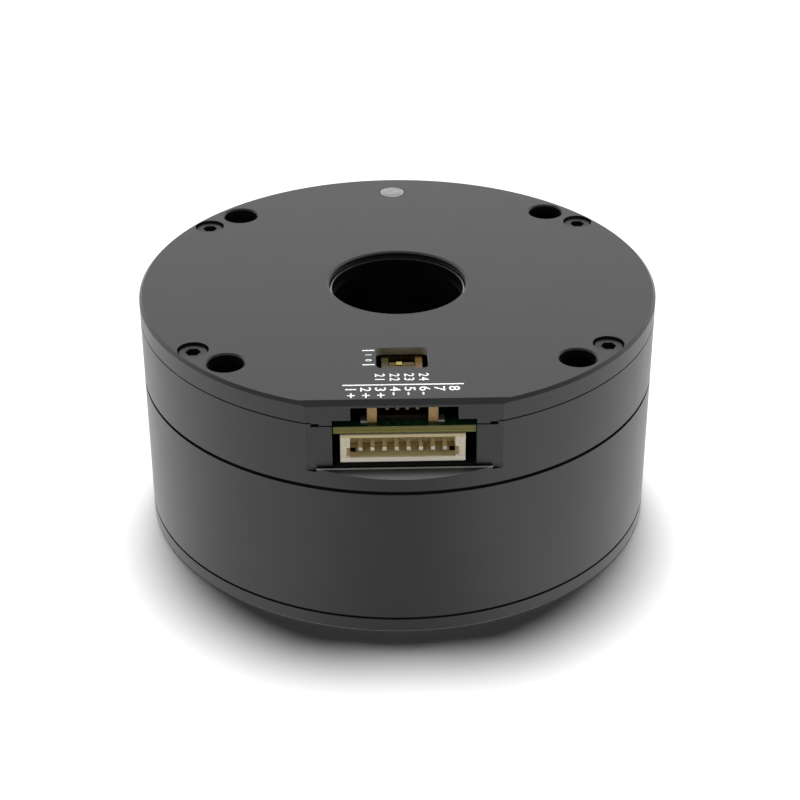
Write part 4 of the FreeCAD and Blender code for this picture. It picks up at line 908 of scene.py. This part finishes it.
# %% Put the paper together
reflected = add_node(tree, "ShaderNodeMixShader")
in_mirror = add_node(tree, "ShaderNodeLightPath").outputs["Is Glossy Ray"]
one_sided = add_node(tree, "ShaderNodeMixShader")
behind = add_node(tree, "ShaderNodeNewGeometry").outputs["Backfacing"]
gone = add_node(tree, "ShaderNodeBsdfTransparent")
for socket, value in zip(reflected.inputs, (in_mirror, plain.outputs[0], white.outputs[0])):
    feed(tree, socket, value)
for socket, value in zip(one_sided.inputs, (behind, reflected.outputs[0], gone.outputs[0])):
    feed(tree, socket, value)
feed(tree, add_node(tree, "ShaderNodeOutputMaterial").inputs["Surface"], one_sided.outputs[0])
print("Paper with", len(tree.nodes), "nodes")

# %% [markdown]
# ## Studio
#
# The camera sees a white room. Reflections see it too, dimmer overhead and on the camera's
# side, so that level faces and chamfers stay apart. The room itself gives hardly any light:
# that comes from the lamps, and so the shadow stays deep.

# %% World
OVERHEAD_AXIS, OVERHEAD_SPAN, OVERHEAD_DIMMING = (0, -0.5, 0.87), (0.15, 0.65), 0.65
AMBIENT = 0.02

scene = bpy.context.scene
scene.view_settings.view_transform = "Standard"
scene.world = bpy.data.worlds.new("studio")
scene.world.use_nodes = True
tree = scene.world.node_tree
tree.nodes.clear()
backdrop = add_node(tree, "ShaderNodeBackground")
backdrop.inputs["Color"].default_value = WHITE
rays = add_node(tree, "ShaderNodeLightPath").outputs
looked_at = work_out(tree, "MAXIMUM", rays["Is Camera Ray"], rays["Is Transmission Ray"])
direction = add_node(tree, "ShaderNodeTexCoord").outputs["Generated"]
overhead = reach_mask(tree, direction, OVERHEAD_AXIS, *OVERHEAD_SPAN)
dimmed = work_out(tree, "MULTIPLY_ADD", overhead, -OVERHEAD_DIMMING, 1.0)
mirrored = work_out(tree, "MULTIPLY", rays["Is Glossy Ray"], dimmed)
strength = work_out(tree, "MAXIMUM", work_out(tree, "MAXIMUM", looked_at, mirrored), AMBIENT)
feed(tree, backdrop.inputs["Strength"], strength)
feed(tree, add_node(tree, "ShaderNodeOutputWorld").inputs["Surface"], backdrop.outputs[0])
print("Ambient light", AMBIENT)

# %% [markdown]
# In the photograph the shadow lies in front and its edge is soft: the key light hangs high
# and a little behind. A sun lamp with a wide disc does that, evenly over the whole paper.
# Two low panels at the sides light the sockets; they leave out the paper, so that the shadow
# stays deep. No lamp shows in a reflection, because a lamp's glare would cover the finish.

# %% Lamps
KEY_TILT, KEY_DISC, KEY_POWER = math.radians(19), math.radians(26.5), 4.2
PANEL_ASIDE, PANEL_Y, PANEL_Z = 0.56, -0.23, 0.14
PANEL_SIZE, PANEL_POWER = 0.3, 1.8


def add_lamp(name, kind, place, power):
    """A lamp that faces the motor."""
    bpy.ops.object.select_all(action="DESELECT")
    bpy.ops.object.light_add(type=kind, location=place)
    lamp = bpy.context.object
    lamp.name = name
    lamp.data.energy = power
    lamp.visible_glossy = False
    lamp.rotation_euler = (-Vector(place)).to_track_quat("-Z", "Y").to_euler()
    print(name, "gives", power)
    return lamp


key = add_lamp("key", "SUN", (0.0, math.sin(KEY_TILT), math.cos(KEY_TILT)), KEY_POWER)
key.data.angle = KEY_DISC
not_paper = bpy.data.collections.new("not_the_paper")
not_paper.objects.link(floor)
not_paper.collection_objects[0].light_linking.link_state = "EXCLUDE"
for side, name in ((-1, "panel_left"), (1, "panel_right")):
    panel = add_lamp(name, "AREA", (side * PANEL_ASIDE, PANEL_Y, PANEL_Z), PANEL_POWER)
    panel.data.size = PANEL_SIZE
    panel.light_linking.receiver_collection = not_paper

# %% [markdown]
# ## Camera
#
# The camera was found from the photograph: the rims of the motor are circles, and only one
# eye point shows them as these ellipses. It stands 262 mm from the middle of the cover,
# 26.4 degrees above it, with a lens of 86 mm, and looks down by 30 degrees. The motor is
# turned by a degree and a half in the photograph; here the camera goes round instead.

# %% Camera
EYE_DISTANCE, EYE_ASIDE = 262.2 * MM, 0.32 * MM
EYE_RISE, LOOK_DOWN = math.radians(26.422), math.radians(29.955)
ROUND = Matrix.Rotation(math.radians(-1.53), 4, "Z")
ROLL = Matrix.Rotation(math.radians(-0.14), 4, "Z")
LENS, SENSOR_WIDTH = 86.4, 36
NEAREST_SEEN = 0.01

eye_back, eye_up = EYE_DISTANCE * math.cos(EYE_RISE), EYE_DISTANCE * math.sin(EYE_RISE)
eye = Vector((EYE_ASIDE, -eye_back, cover_top + eye_up))
bpy.ops.object.select_all(action="DESELECT")
bpy.ops.object.camera_add(location=ROUND @ eye)
camera = bpy.context.object
camera.rotation_euler = (ROUND @ Matrix.Rotation(math.pi / 2 - LOOK_DOWN, 4, "X") @ ROLL).to_euler()
camera.data.lens = LENS
camera.data.sensor_width = SENSOR_WIDTH
camera.data.clip_start = NEAREST_SEEN
scene.camera = camera
print("Camera at", [round(c / MM, 1) for c in camera.location], "mm")
